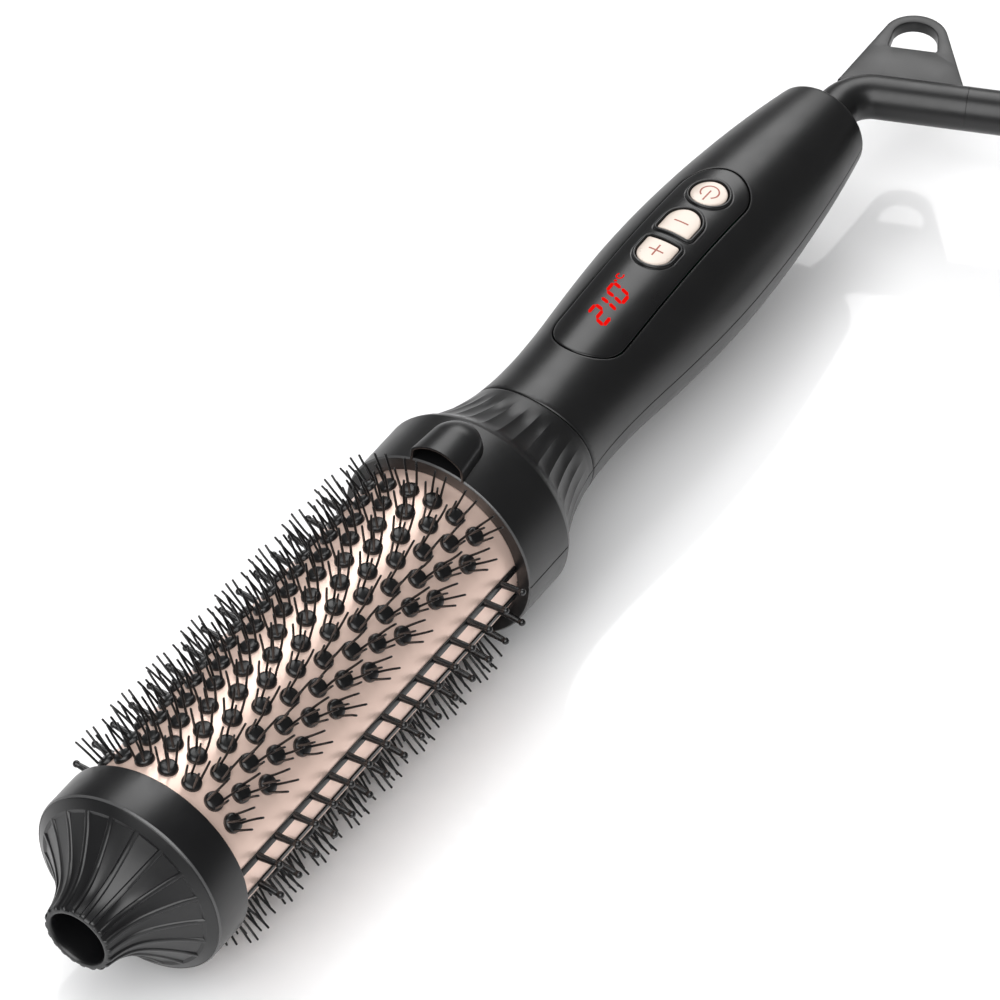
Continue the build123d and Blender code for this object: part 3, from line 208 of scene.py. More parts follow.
STEEL = surface("zinc_steel", (0.52, 0.52, 0.53), (0.62, 0.62, 0.63), rough=(0.25, 0.38), metal=1.0, bump=0.05)
ALU = surface("raw_aluminium", (0.62, 0.63, 0.64), (0.72, 0.73, 0.74), rough=(0.32, 0.42), metal=1.0, bump=0.06, stretch=(0.06, 1, 1))
BRASS = surface("bare_brass", (0.74, 0.53, 0.22), (0.82, 0.60, 0.27), rough=(0.22, 0.32), metal=1.0, bump=0.04)
HEATPROOF = surface("heatproof_plastic", (0.060, 0.055, 0.050), (0.085, 0.078, 0.070), rough=(0.45, 0.58), bump=0.12)
CERAMIC = surface("ptc_ceramic", (0.26, 0.25, 0.26), (0.33, 0.32, 0.33), rough=(0.45, 0.60), bump=0.10)
MICA = surface("mica_sheet", (0.55, 0.46, 0.28), (0.70, 0.60, 0.40), rough=(0.30, 0.50), bump=0.15, tone_scale=250)
SILICONE = surface("silicone_sleeving", (0.62, 0.58, 0.54), (0.70, 0.66, 0.61), rough=(0.45, 0.55), bump=0.05)
BOARD = surface("circuit_board", (0.015, 0.10, 0.05), (0.02, 0.14, 0.07), rough=(0.25, 0.35), bump=0.08, tone_scale=500)
CHIP = surface("component_black", (0.015, 0.015, 0.015), (0.025, 0.025, 0.025), rough=(0.35, 0.5), bump=0.10)
FILM = surface("capacitor_yellow", (0.62, 0.45, 0.05), (0.72, 0.54, 0.08), rough=(0.25, 0.35), bump=0.04)
PAD = surface("silicone_pad", (0.05, 0.05, 0.055), (0.07, 0.07, 0.075), rough=(0.5, 0.6), bump=0.08)


def lit(name, colour, strength):
    """lit segments: a red lamp colour a little brighter at some spots than at others"""
    mat, nt, b = new_mat(name)
    N, L = nt.nodes.new, nt.links.new
    tc = N("ShaderNodeTexCoord")
    no = N("ShaderNodeTexNoise"); no.inputs["Scale"].default_value = 600.0
    L(tc.outputs["Object"], no.inputs["Vector"])
    mix = N("ShaderNodeMix"); mix.data_type = "RGBA"
    mix.inputs[6].default_value = (*colour, 1)
    mix.inputs[7].default_value = (colour[0] * 0.94, colour[1] * 0.94, colour[2] * 0.94, 1)
    L(no.outputs["Fac"], mix.inputs[0])
    L(mix.outputs[2], b.inputs["Emission Color"])
    b.inputs["Emission Strength"].default_value = strength
    b.inputs["Base Color"].default_value = (0.02, 0.0, 0.0, 1)
    b.inputs["Roughness"].default_value = 0.6
    b.inputs["Specular IOR Level"].default_value = 0.0
    return mat


RED = lit("lit_red", (0.86, 0.006, 0.004), 1.0)

# every node of the frame gets its own finish; those a detailed piece stands for are hidden below
NODE_MATS = {
    "tip_cap": CAP, "tip_plug": HEATPROOF, "tip_screw": STEEL, "barrel_tube": ROSE, "bristle_mat_upper": NYLON, "bristle_mat_lower": NYLON,
    "pin_comb_right": PINS, "pin_comb_left": PINS, "heat_block_upper": ALU, "heat_block_lower": ALU, "ptc_heaters": CERAMIC,
    "mica_sheets": MICA, "tie_rod": STEEL, "barrel_seat": HEATPROOF, "tie_nut": STEEL, "ntc_sensor": CHIP, "thermal_fuse": BRASS,
    "heater_leads": SILICONE, "collar_upper_shell": BLACK, "collar_lower_shell": BLACK, "ion_hood": BLACK,
    "ion_needle_holder": HEATPROOF, "ion_needle": STEEL, "ion_lead": SILICONE, "handle_upper_shell": BLACK, "handle_lower_shell": BLACK,
    "shell_screws": STEEL, "display_digits": RED, "control_panel": PANEL, "power_button": KEY, "minus_button": KEY, "plus_button": KEY,
    "key_pad": PAD, "tact_switches": CHIP, "display_module": CHIP, "main_board": BOARD, "board_screws": STEEL, "triac": CHIP,
    "film_capacitor": FILM, "ion_generator": CHIP, "swivel_bush": HEATPROOF, "swivel_elbow": ELBOW, "swivel_inner_cable": CORD,
    "slip_rings": BRASS, "slip_contacts": BRASS, "contact_block": HEATPROOF, "mains_leads": SILICONE, "strain_relief": ELBOW,
    "power_cord": CORD, "cord_coil": CORD, "plug_body": PLUG, "plug_pins": NICKEL,
}
for name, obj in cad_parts.items():
    obj.data.materials.clear()
    obj.data.materials.append(NODE_MATS[name])


# ------------------------------------------------------------------ mesh helpers
class Build:
    """collects points (millimetres) and faces, then makes one object of them"""

    def __init__(self):
        self.v, self.f, self.n = [], [], 0

    def points(self, pts):
        pts = np.asarray(pts, float).reshape(-1, 3)
        start = self.n
        self.v.append(pts)
        self.n += len(pts)
        return start

    def grid(self, P, close_u=False, close_v=False, flip=False):
        nu, nv = P.shape[:2]
        o = self.points(P)
        uu = nu if close_u else nu - 1
        vv = nv if close_v else nv - 1
        for i in range(uu):
            i2 = (i + 1) % nu
            for j in range(vv):
                j2 = (j + 1) % nv
                q = (o + i * nv + j, o + i * nv + j2, o + i2 * nv + j2, o + i2 * nv + j)
                self.f.append(q[::-1] if flip else q)
        return o

    def add(self, pts, faces, flip=False):
        o = self.points(pts)
        for q in faces:
            q = tuple(o + k for k in q)
            self.f.append(q[::-1] if flip else q)

    def fan(self, ring, centre, flip=False):
        o = self.points(list(ring) + [centre])
        n = len(ring)
        for i in range(n):
            q = (o + i, o + (i + 1) % n, o + n)
            self.f.append(q[::-1] if flip else q)

    def object(self, name, mat, body, sharp=35.0, replaces=(), merge=1e-4, recalc=True):
        me = bpy.data.meshes.new(name)
        V = np.concatenate(self.v) * MM
        me.from_pydata(V.tolist(), [], [tuple(int(k) for k in q) for q in self.f])
        bm = bmesh.new()
        bm.from_mesh(me)
        if merge:
            bmesh.ops.remove_doubles(bm, verts=bm.verts, dist=merge * MM)
        if recalc:
            bmesh.ops.recalc_face_normals(bm, faces=bm.faces)
        bm.to_mesh(me)
        bm.free()
        me.polygons.foreach_set("use_smooth", [True] * len(me.polygons))
        if sharp is not None:
            me.set_sharp_from_angle(angle=radians(sharp))
        me.materials.append(mat)
        me.update()
        ob = bpy.data.objects.new(name, me)
        bpy.context.scene.collection.objects.link(ob)
        if replaces:
            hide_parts(*replaces)
        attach(ob, body)
        return ob


def ring_angles(n=160, a0=0.0, a1=360.0, closed=True):
    return np.linspace(a0, a1, n, endpoint=not closed)


def revolve(build, profile, angles, closed=True, flip=False):
    """a surface of revolution about the brush axis; profile is a list of (station, radius)"""
    s = np.array([p[0] for p in profile])[:, None]
    r = np.array([p[1] for p in profile])[:, None]
    build.grid(around(s, r, np.asarray(angles)[None, :]), close_v=closed, flip=flip)


def arc_pts(cx, cy, r, a0, a1, n):
    """points of a circular corner in a profile, angles in degrees"""
    return [(cx + r * cos(radians(a0 + (a1 - a0) * k / n)), cy + r * sin(radians(a0 + (a1 - a0) * k / n))) for k in range(n + 1)]


# ------------------------------------------------------------------ free cord, coil and plug
CORD_R = 3.1
COIL_MID = 37.0
ROW_Z = (CORD_R, CORD_R + 5.37)
DESCENT_A, DESCENT_L, SLEEVE_END = 70.0, 60.0, 62.0
LEAD_R, COIL_X, LEAD_STUB = 40.0, 240.0, 26.0
R_IN, R_OUT = COIL_MID + 3 * CORD_R - 0.4, COIL_MID + 2 * CORD_R
EXIT_ANGLE, STUB, PLUG_Z = 150.0, 32.0, 6.85
lead_o = sleeve_xy(DESCENT_A, 0)
lead_c = lead_o + HD * LEAD_R
lead_turn = math.atan2(-SD[1], SD[0])
LEAD_Y = lead_c[1] - LEAD_R
COIL_C = np.array([COIL_X, LEAD_Y + R_IN, 0.0])


def lead_at(d):
    """place of the cord's axis d after the start of its descent to the floor"""
    z = ROW_Z[0] + (ZC - ROW_Z[0]) * (1 + cos(pi * min(d / DESCENT_L, 1.0))) / 2
    t = d / LEAD_R
    if t < lead_turn:
        q = lead_c + LEAD_R * (SD * sin(t) - HD * cos(t))
        return np.array([q[0], q[1], z])
    return np.array([lead_c[0] + d - lead_turn * LEAD_R, LEAD_Y, z])


ROUTE = [sleeve_xy(SLEEVE_END, 0)] + [lead_at(DESCENT_L * k / 6) for k in range(7)] + [np.array([COIL_X - LEAD_STUB, LEAD_Y, ROW_Z[0]]), np.array([COIL_X - 12.0, LEAD_Y, ROW_Z[0]])]

enter = 270.0
STEPS = 16                                        # spline points in one turn
swell = 1.0 / cos(pi / STEPS) ** 2 * 0.5 + 0.5    # a spline with these points runs a little inside them
turn_pts = []
radii_low = [R_IN, COIL_MID + 3.1, COIL_MID - 3.1, COIL_MID - 9.3]
radii_up = [COIL_MID - 6.2, COIL_MID, R_OUT]
total_low = 4 * STEPS
for k in range(1, total_low + 1):
    t = k / STEPS
    i = int(t)
    frac = t - i
    # each turn keeps its own ring and steps inward over its last fifth
    r_here = radii_low[min(i, 3)]
    r_next = radii_low[min(i + 1, 3)]
    w = 0.0 if frac < 0.72 else (frac - 0.72) / 0.28
    w = w * w * (3 - 2 * w)
    turn_pts.append((enter + 360.0 * t, r_here + (r_next - r_here) * w if i < 3 else r_here, ROW_Z[0]))
# up onto the second layer and outward again
up_turns = 2 + ((EXIT_ANGLE - enter) % 360.0) / 360.0
n_up = int(round(up_turns * STEPS))
base = turn_pts[-1][0]
for k in range(1, n_up + 1):
    t = k / STEPS
    i = min(int(t), 2)
    frac = t - i
    r_here, r_next = radii_up[i], radii_up[min(i + 1, 2)]
    w = 0.0 if frac < 0.72 else (frac - 0.72) / 0.28
    w = w * w * (3 - 2 * w)
    z = ROW_Z[0] + (ROW_Z[1] - ROW_Z[0]) * min(1.0, t * 4.0)
    r = r_here + (r_next - r_here) * w
    if t < 0.2:
        r = radii_low[3] + (radii_up[0] - radii_low[3]) * t * 5.0
    turn_pts.append((base + (up_turns * 360.0) * k / n_up, r, z))
COIL_PTS = [COIL_C + np.array([r * swell * cos(radians(a)), r * swell * sin(radians(a)), z]) for a, r, z in turn_pts]

ex_n = np.array([cos(radians(EXIT_ANGLE)), sin(radians(EXIT_ANGLE)), 0])
ex_t = np.array([-ex_n[1], ex_n[0], 0])


def exit_route(t, n, z):
    p = COIL_C + ex_n * (R_OUT - n) + ex_t * t
    return np.array([p[0], p[1], z])


TAIL = [exit_route(*q) for q in ((16.0, 0, ROW_Z[1]), (STUB, 0, ROW_Z[1]), (STUB + 5, 0, ROW_Z[1]), (STUB + 13.66, -0.95, 8.3), (STUB + 21.9, -3.75, 7.8),
                                 (STUB + 29.35, -8.27, 7.2), (STUB + 35.64, -14.29, PLUG_Z), (STUB + 41.4, -21.2, PLUG_Z))]
CORD_POINTS = ROUTE + COIL_PTS + TAIL

cu = bpy.data.curves.new("cord", "CURVE")
cu.dimensions = "3D"
cu.resolution_u = 6
cu.bevel_depth = CORD_R * MM
cu.bevel_resolution = 5
cu.use_fill_caps = True
sp = cu.splines.new("NURBS")
sp.points.add(len(CORD_POINTS) - 1)
for p, q in zip(sp.points, CORD_POINTS):
    p.co = (*(q * MM), 1.0)
sp.order_u = 3
sp.use_endpoint_u = True
cu.materials.append(CORD)
cord = bpy.data.objects.new("cord", cu)
bpy.context.scene.collection.objects.link(cord)
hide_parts("power_cord", "cord_coil")
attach(cord, "cord_swivel")

# ------------------------------------------------------------------ tie: a strap drawn round the turns, its end laid back over the top
TIE_AT, TIE_W = 40.0, 9.0
TIE_CORNERS = [(R_IN, ROW_Z[0]), (COIL_MID - 9.3, ROW_Z[0]), (COIL_MID - 6.2, ROW_Z[1]), (R_OUT, ROW_Z[1])]


def tie_pt(phi, d, w, low):
    """a point of the strap: phi is its outward direction in the coil's section, d its height over the cord, w across the strap"""
    nr, nz = cos(radians(phi)), sin(radians(phi))
    c = max(TIE_CORNERS, key=lambda q: q[0] * nr + q[1] * nz)
    r, z = c[0] + (CORD_R + d) * nr, max(c[1] + (CORD_R + d) * nz, low)
    a = radians(TIE_AT) + w / r
    return COIL_C + np.array([r * cos(a), r * sin(a), z])


def strap(build, phis, d0, d1, width, low, closed):
    h = width / 2
    section = [(d0, -h, low + 0.3), (d1 - 0.25, -h, low), (d1, 0.3 - h, low), (d1, 0.0, low), (d1, h - 0.3, low), (d1 - 0.25, h, low), (d0, h, low + 0.3)]
    P = np.array([[tie_pt(p, d, w, lo) for p in phis] for d, w, lo in section])
    build.grid(P, close_u=True, close_v=closed)
    if not closed:
        for k in (0, -1):
            build.fan(P[:, k], P[:, k].mean(0))


b = Build()
strap(b, np.arange(1.25, 360.0, 2.5), 0.02, 0.85, TIE_W, 0.05, True)
strap(b, np.arange(18.75, 100.1, 2.5), 0.80, 1.55, TIE_W - 0.6, 0.05, False)
b.object("coil_tie", PLUG, "cord_swivel", sharp=40)

# ------------------------------------------------------------------ plug: a moulded two-pin head with finger grips
plug_o = TAIL[-1]
plug_d = TAIL[-1] - TAIL[-2]
plug_d = np.array([plug_d[0], plug_d[1], 0]); plug_d /= np.linalg.norm(plug_d)
plug_s = np.array([-plug_d[1], plug_d[0], 0])
UP = np.array([0, 0, 1.0])


def plug_pt(x, y, z):
    return plug_o + plug_d * x + plug_s * y + UP * z


b = Build()
sections = []
N = 48
for x, hw, hh in ((0.0, 3.3, 3.3), (0.4, 3.65, 3.65), (3.0, 3.9, 3.9), (3.4, 3.5, 3.5), (4.6, 3.5, 3.5), (5.0, 4.05, 4.05), (6.6, 4.2, 4.2), (7.0, 3.75, 3.75),
                  (8.2, 3.8, 3.8), (8.6, 4.4, 4.4), (10.6, 4.7, 4.6), (13.0, 5.6, 5.2), (16.0, 8.0, 5.9), (19.5, 10.1, 6.4), (24.0, 10.9, 6.65),
                  (30.0, 11.35, 6.75), (38.0, 12.1, 6.8), (44.0, 12.6, 6.8), (46.0, 12.7, 6.7), (46.8, 12.4, 6.4), (47.0, 11.9, 5.9)):
    n_exp = 2.0 + 2.2 * min(1.0, max(0.0, (x - 11) / 10))
    ring = []
    for k in range(N):
        t = 2 * pi * k / N
        cx, cz = cos(t), sin(t)
        ring.append(plug_pt(x, hw * abs(cx) ** (2 / n_exp) * (1 if cx >= 0 else -1), hh * abs(cz) ** (2 / n_exp) * (1 if cz >= 0 else -1)))
    sections.append(ring)
b.grid(np.array(sections), close_v=True)
b.fan(sections[0], plug_pt(0, 0, 0))
b.fan(sections[-1], plug_pt(47.0, 0, 0))
# grip ribs across both sides
for side in (-1, 1):
    for k in range(6):
        x = 22.0 + 3.2 * k
        hw = np.interp(x, [19.5, 24, 30, 38, 44], [10.1, 10.9, 11.35, 12.1, 12.6])
        prof = []
        for zz in np.linspace(-4.2, 4.2, 9):
            row = []
            for dx in (-0.7, -0.35, 0.0, 0.35, 0.7):
                bulge = 0.55 * sqrt(max(0.0, 1 - (dx / 0.7) ** 2)) * sqrt(max(0.0, 1 - (zz / 4.2) ** 2))
                row.append(plug_pt(x + dx, side * (hw - 0.25 + bulge), zz))
            prof.append(row)
        b.grid(np.array(prof))
plug = b.object("plug", PLUG, "cord_swivel", sharp=40, replaces=("plug_body",))

b = Build()
for q in (-1, 1):
    rows = []
    for x, r in ((46.5, 2.0), (47.2, 2.0), (57.0, 2.0), (57.05, 2.0), (64.8, 2.0), (65.6, 1.75), (66.0, 1.1), (66.05, 0.0)):
        rows.append([plug_pt(x, q * 9.5 + r * cos(t), r * sin(t)) for t in np.linspace(0, 2 * pi, 32, endpoint=False)])
    b.grid(np.array(rows), close_v=True)
pins_vis = b.object("plug_pins_turned", NICKEL, "cord_swivel", sharp=50, replaces=("plug_pins",))

# ------------------------------------------------------------------ strain relief with flex ribs
b = Build()
prof = [(ELBOW_OUT, ELBOW_R)]
prof += [(40.0, ELBOW_R), (43.0, ELBOW_R - 0.02)]
x = 44.0
for k in range(6):
    r0 = ELBOW_R - (x - 44.0) / 17.5 * (ELBOW_R - 3.9)
    r1 = ELBOW_R - (x + 1.6 - 44.0) / 17.5 * (ELBOW_R - 3.9)
    prof += [(x, r0), (x + 0.15, r0 - 0.1), (x + 0.25, r0 - 0.75), (x + 1.0, r0 - 0.85), (x + 1.15, r1 - 0.1), (x + 1.3, r1 + 0.02)]
    x += 2.75
prof += [(61.2, 3.85), (61.8, 3.6), (62.0, 3.2), (62.0, 3.05)]
rows = []
for along, r in prof:
    rows.append([sleeve_xy(along, 0) + HD * r * cos(t) + UP * r * sin(t) for t in np.linspace(0, 2 * pi, 48, endpoint=False)])
b.grid(np.array(rows), close_v=True)
sleeve = b.object("cord_sleeve", ELBOW, "cord_swivel", sharp=32, replaces=("strain_relief",))

_dep = bpy.context.evaluated_depsgraph_get()
_cu = cu.copy(); _cu.bevel_depth = 0.0
_tmp = bpy.data.objects.new("cord_line", _cu)
_me = bpy.data.meshes.new_from_object(_tmp)
bpy.data.meshes.remove(_me); bpy.data.objects.remove(_tmp); bpy.data.curves.remove(_cu)

# ------------------------------------------------------------------ swivel elbow with its hang tab
b = Build()
path, tang = [], []
tl = ELBOW_BEND * tan(radians(ELBOW_TURN) / 2)
for s in (268.0, 277.0, 281.0, ELBOW_S - tl):
    path.append(np.array([s - X0, 0, ZC])); tang.append(np.array([1.0, 0, 0]))
centre = np.array([ELBOW_S - tl - X0, -ELBOW_BEND, ZC])
for k in range(1, 19):
    t = radians(ELBOW_TURN) * k / 19
    path.append(centre + ELBOW_BEND * np.array([sin(t), cos(t), 0])); tang.append(np.array([cos(t), -sin(t), 0]))
for along in (tl, 12.0, 18.0, 25.6, 25.85, 25.95, 26.0):
    path.append(sleeve_xy(along, 0)); tang.append(SD)
rad = [ELBOW_R] * (len(path) - 3) + [ELBOW_R, ELBOW_R - 0.015, ELBOW_R - 0.05]
rows = []
for p, t, r in zip(path, tang, rad):
    side = np.cross(UP, t)
    rows.append([p + side * r * cos(q) + UP * r * sin(q) for q in np.linspace(0, 2 * pi, 64, endpoint=False)])
b.grid(np.array(rows), close_v=True)
# points of a low ring where the stem enters the grip; they are not added to the mesh
rows = []
for s, r in ((276.6, 4.9), (276.9, 5.35), (277.6, 5.4), (277.9, 5.2), (278.0, 4.9)):
    rows.append([np.array([s - X0, r * cos(q), ZC + r * sin(q)]) for q in np.linspace(0, 2 * pi, 64, endpoint=False)])


def tab_outline():
    c = np.array(TAB_C)
    left, right = np.array([-3.4, 2.6]), np.array([25.4, 2.6])

    def tangent(p, side):
        d = p - c
        L = np.hypot(*d)
        ca, sa = TAB_R / L, side * sqrt(L * L - TAB_R ** 2) / L
        u = d / L
        return c + TAB_R * np.array([u[0] * ca - u[1] * sa, u[0] * sa + u[1] * ca])
    cand = {(n, sgn): tangent(p, sgn) for n, p in (("l", left), ("r", right)) for sgn in (-1, 1)}
    t_l = min((cand[("l", 1)], cand[("l", -1)]), key=lambda q: q[0])
    t_r = max((cand[("r", 1)], cand[("r", -1)]), key=lambda q: q[0])
    a0 = math.atan2(t_l[1] - c[1], t_l[0] - c[0])
    a1 = math.atan2(t_r[1] - c[1], t_r[0] - c[0])
    if a0 < 0: a0 += 2 * pi
    arc = [c + TAB_R * np.array([cos(a), sin(a)]) for a in np.linspace(a0, a1, 40)]
    return [left] + arc + [right]


def eye_outline(grow=0.0):
    c = np.array(TAB_C)
    r = TAB_R - 2.25
    arc = [c + (0, -0.3) + np.array([(r + grow) * cos(a), (r + grow) * sin(a)]) for a in np.linspace(pi, 0, 30)]
    pts = [np.array([6.5 - grow, 16.2 - grow]), np.array([5.95 - grow, 16.9])] + arc + [np.array([17.0 + grow, 16.9]), np.array([16.6 + grow, 16.2 - grow])]
    return pts


def offset_loop(pts, d):
    """moves a closed loop outward (d > 0) along its own normals"""
    P = np.array(pts, float)
    nxt, prv = np.roll(P, -1, 0), np.roll(P, 1, 0)
    t = nxt - prv
    t /= np.linalg.norm(t, axis=1)[:, None] + 1e-12
    nrm = np.stack([t[:, 1], -t[:, 0]], 1)
    area = 0.5 * np.sum(P[:, 0] * nxt[:, 1] - nxt[:, 0] * P[:, 1])
    if area < 0:
        nrm = -nrm
    return P + nrm * d


def tab_level(loop, z):
    return [sleeve_xy(p[0], p[1], z) for p in loop]


def densify(loop, step):
    P = np.array(loop)
    out = []
    for p, q in zip(P, np.roll(P, -1, 0)):
        n = max(1, int(np.ceil(np.linalg.norm(q - p) / step)))
        for k in range(n):
            out.append(p + (q - p) * k / n)
    return np.array(out)


outer = densify(tab_outline(), 1.2)
eye = densify(eye_outline(), 0.8)
HT, BV = 1.5, 0.3
o_in, e_out = offset_loop(outer, -BV), offset_loop(eye, BV)
for z, sgn in ((HT, 1), (-HT, -1)):
    V = [Vector(p) for p in list(o_in) + list(e_out)]
    E = [(i, (i + 1) % len(o_in)) for i in range(len(o_in))] + [(len(o_in) + i, len(o_in) + (i + 1) % len(e_out)) for i in range(len(e_out))]
    res = delaunay_2d_cdt(V, E, [], 1, 1e-6)
    vv, ff = res[0], res[2]

    def inside(poly, x, y):
        c = False
        n = len(poly)
        for i in range(n):
            x1, y1 = poly[i]; x2, y2 = poly[(i + 1) % n]
            if (y1 > y) != (y2 > y) and x < (x2 - x1) * (y - y1) / (y2 - y1) + x1:
                c = not c
        return c
    keep = []
    for f in ff:
        cx = sum(vv[i][0] for i in f) / len(f); cy = sum(vv[i][1] for i in f) / len(f)
        if inside(o_in, cx, cy) and not inside(e_out, cx, cy):
            keep.append(tuple(f))
    b.add([sleeve_xy(p[0], p[1], z) for p in vv], keep)
for loop_in, loop_out in ((o_in, outer), (e_out, eye)):
    rows = [tab_level(loop_in, HT), tab_level(loop_in + (loop_out - loop_in) * 0.7, HT - BV * 0.3), tab_level(loop_out, HT - BV),
            tab_level(loop_out, -HT + BV), tab_level(loop_in + (loop_out - loop_in) * 0.7, -HT + BV * 0.3), tab_level(loop_in, -HT)]
    b.grid(np.array(rows), close_v=True)
elbow = b.object("swivel_elbow_tab", ELBOW, "cord_swivel", sharp=38, replaces=("swivel_elbow",), merge=1e-3)

# ------------------------------------------------------------------ tip cap: mouth, ribbed trumpet, flange and ring
TRUMPET = [(0.0, 7.3), (2.4, 7.75), (4.8, 8.5), (7.3, 9.8), (9.6, 11.7), (11.8, 14.0), (13.8, 16.4), (15.4, 18.5)]
trumpet_r = smooth_curve(TRUMPET)
RIB_PHASE, RIB_N = 12.0, 20
b = Build()
half = 180.0 / RIB_N


def rib_columns(r):
    """angles across one petal, from rib to rib, with the rib's own shape in millimetres"""
    mm = [-0.62, -0.5, -0.34, -0.12, 0.12, 0.34, 0.5, 0.62]
    cols = [math.degrees(q / r) for q in mm]
    first, last = cols[-1], 2 * half + cols[0]
    cols += list(np.linspace(first, last, 8)[1:-1])
    return cols


RIB_SHAPE = [0.0, 0.55, 0.92, 1.0, 1.0, 0.92, 0.55, 0.0] + [0.0] * 6
stations = list(np.linspace(0.45, 15.4, 44))
rows = []
# rim of the mouth: a flat ring whose outer edge takes the rib ends
for s, r0, share in ((0.30, 6.25, 0.0), (0.07, 6.40, 0.0), (0.0, 6.62, 0.0), (0.0, 7.02, 0.15), (0.05, 7.16, 0.55), (0.20, 7.26, 0.9)):
    row = []
    for i in range(RIB_N):
        for c, sh in zip(rib_columns(7.4), RIB_SHAPE):
            row.append(around(s, r0 + 0.42 * share * sh, RIB_PHASE + 2 * half * i + c))
    rows.append(row)
for s in stations:
    rb = float(trumpet_r(s))
    h = 0.42 if s < 13.5 else 0.42 + 0.28 * (s - 13.5) / 1.9
    # a shallow hollow between the ribs, as on a fluted bell
    row = []
    for i in range(RIB_N):
        cols = rib_columns(rb)
        for q, (c, sh) in enumerate(zip(cols, RIB_SHAPE)):
            dip = 0.0
            if q >= 8:
                u = (q - 7) / 7.0
                dip = -0.10 * sin(pi * u) * min(1.0, s / 5.0)
            row.append(around(s, rb + h * sh + dip, RIB_PHASE + 2 * half * i + c))
    rows.append(row)
b.grid(np.array(rows), close_v=True)
ang = ring_angles(192)
# the bore of the mouth
revolve(b, [(0.3, 6.25), (0.55, 6.12), (2.0, 6.1), (13.7, 6.1), (14.0, 5.85), (14.0, 3.1), (14.1, 3.0), (15.95, 3.0), (15.95, 1.6)], ang)
b2 = Build()
# flange step, ring and its back edge
revolve(b2, [(15.3, 18.3), (15.32, 19.05), (15.45, 19.25), (16.2, 20.35), (16.50, 20.76)], ang)
revolve(b2, [(16.50, 20.76), (16.62, 20.86), (16.60, 20.98)], ang)
revolve(b2, [(17.02, 21.26), (17.4, 21.3), (25.4, 21.3), (25.85, 21.22), (26.1, 21.0), (26.2, 20.7)], ang)
# front chamfer of the cap ring, in the lighter black that paints its highlight line
b3 = Build()
revolve(b3, [(16.60, 20.98), (16.66, 21.05), (16.92, 21.23), (17.02, 21.26)], ang)
revolve(b2, [(26.2, 20.7), (26.2, 19.1), (25.0, 19.06), (18.2, 19.06)], ang)
cap = b.object("cap_trumpet", CAP, "brush", sharp=30, merge=5e-4)
b3.object("cap_ring_bevel", PAINTED_EDGE_HIGHLIGHT, "brush", sharp=60, merge=0)
cap2 = b2.object("cap_ring", CAP, "brush", sharp=24, replaces=("tip_cap",), merge=0)

# ------------------------------------------------------------------ barrel
b = Build()
ang = ring_angles(256)
revolve(b, [(20.0, 17.5), (20.0, 19.0), (26.0, 19.0), (60.0, 19.0), (95.0, 19.0), (124.0, 19.0), (131.0, 19.0), (131.0, 17.5), (75.0, 17.5), (20.0, 17.5)], ang)
barrel = b.object("barrel_sleeve", ROSE, "brush", sharp=30, replaces=("barrel_tube",))

# ------------------------------------------------------------------ bristle nubs and bristles
ROW_STEP, NUB_PITCH = 8.25, 11.60


def frame_at(s, a):
    """3x3: columns are along, sideways and outward at a station and angle; plus the axis point"""
    q = radians(a)
    along = np.array([1.0, 0, 0])
    side = np.array([0, -cos(q), -sin(q)])
    out = np.array([0, -sin(q), cos(q)])
    return np.stack([along, side, out], 1), np.array([s - X0, 0, ZC])


def turned(profile, n):
    """points and faces of a small turned shape about the outward axis; profile is (radius, height) from the base up to the pole"""
    V, F = [], []
    for r, z in profile[:-1]:
        for k in range(n):
            t = 2 * pi * k / n
            V.append((r * cos(t), r * sin(t), z))
    V.append((0, 0, profile[-1][1]))
    m_ = len(profile) - 1
    for i in range(m_ - 1):
        for k in range(n):
            F.append((i * n + k, i * n + (k + 1) % n, (i + 1) * n + (k + 1) % n, (i + 1) * n + k))
    for k in range(n):
        F.append(((m_ - 1) * n + k, (m_ - 1) * n + (k + 1) % n, m_ * n))
    return np.array(V), F


def rod(p0, p1, r0, r1, n=8, bow=(0.0, 0.0)):
    """a tapered, very slightly bowed rod with a rounded end"""
    p0, p1 = np.array(p0, float), np.array(p1, float)
    d = p1 - p0
    L = np.linalg.norm(d); d /= L
    u = np.cross(d, (1.0, 0.1, 0.2)); u /= np.linalg.norm(u)
    w = np.cross(d, u)
    V, F = [], []
    for t, r in ((0.0, r0), (0.35, r0 + (r1 - r0) * 0.35), (0.7, r0 + (r1 - r0) * 0.7), (1 - 0.9 * r1 / L, r1), (1 - 0.3 * r1 / L, r1 * 0.78), (1.0, r1 * 0.3)):
        c = p0 + d * L * t + (u * bow[0] + w * bow[1]) * 4 * t * (1 - t)
        for k in range(n):
            q = 2 * pi * k / n
            V.append(c + (u * cos(q) + w * sin(q)) * r)
    m_ = 6
    for i in range(m_ - 1):
        for k in range(n):
            F.append((i * n + k, i * n + (k + 1) % n, (i + 1) * n + (k + 1) % n, (i + 1) * n + k))
    F.append(tuple((m_ - 1) * n + k for k in range(n)))
    return np.array(V), F


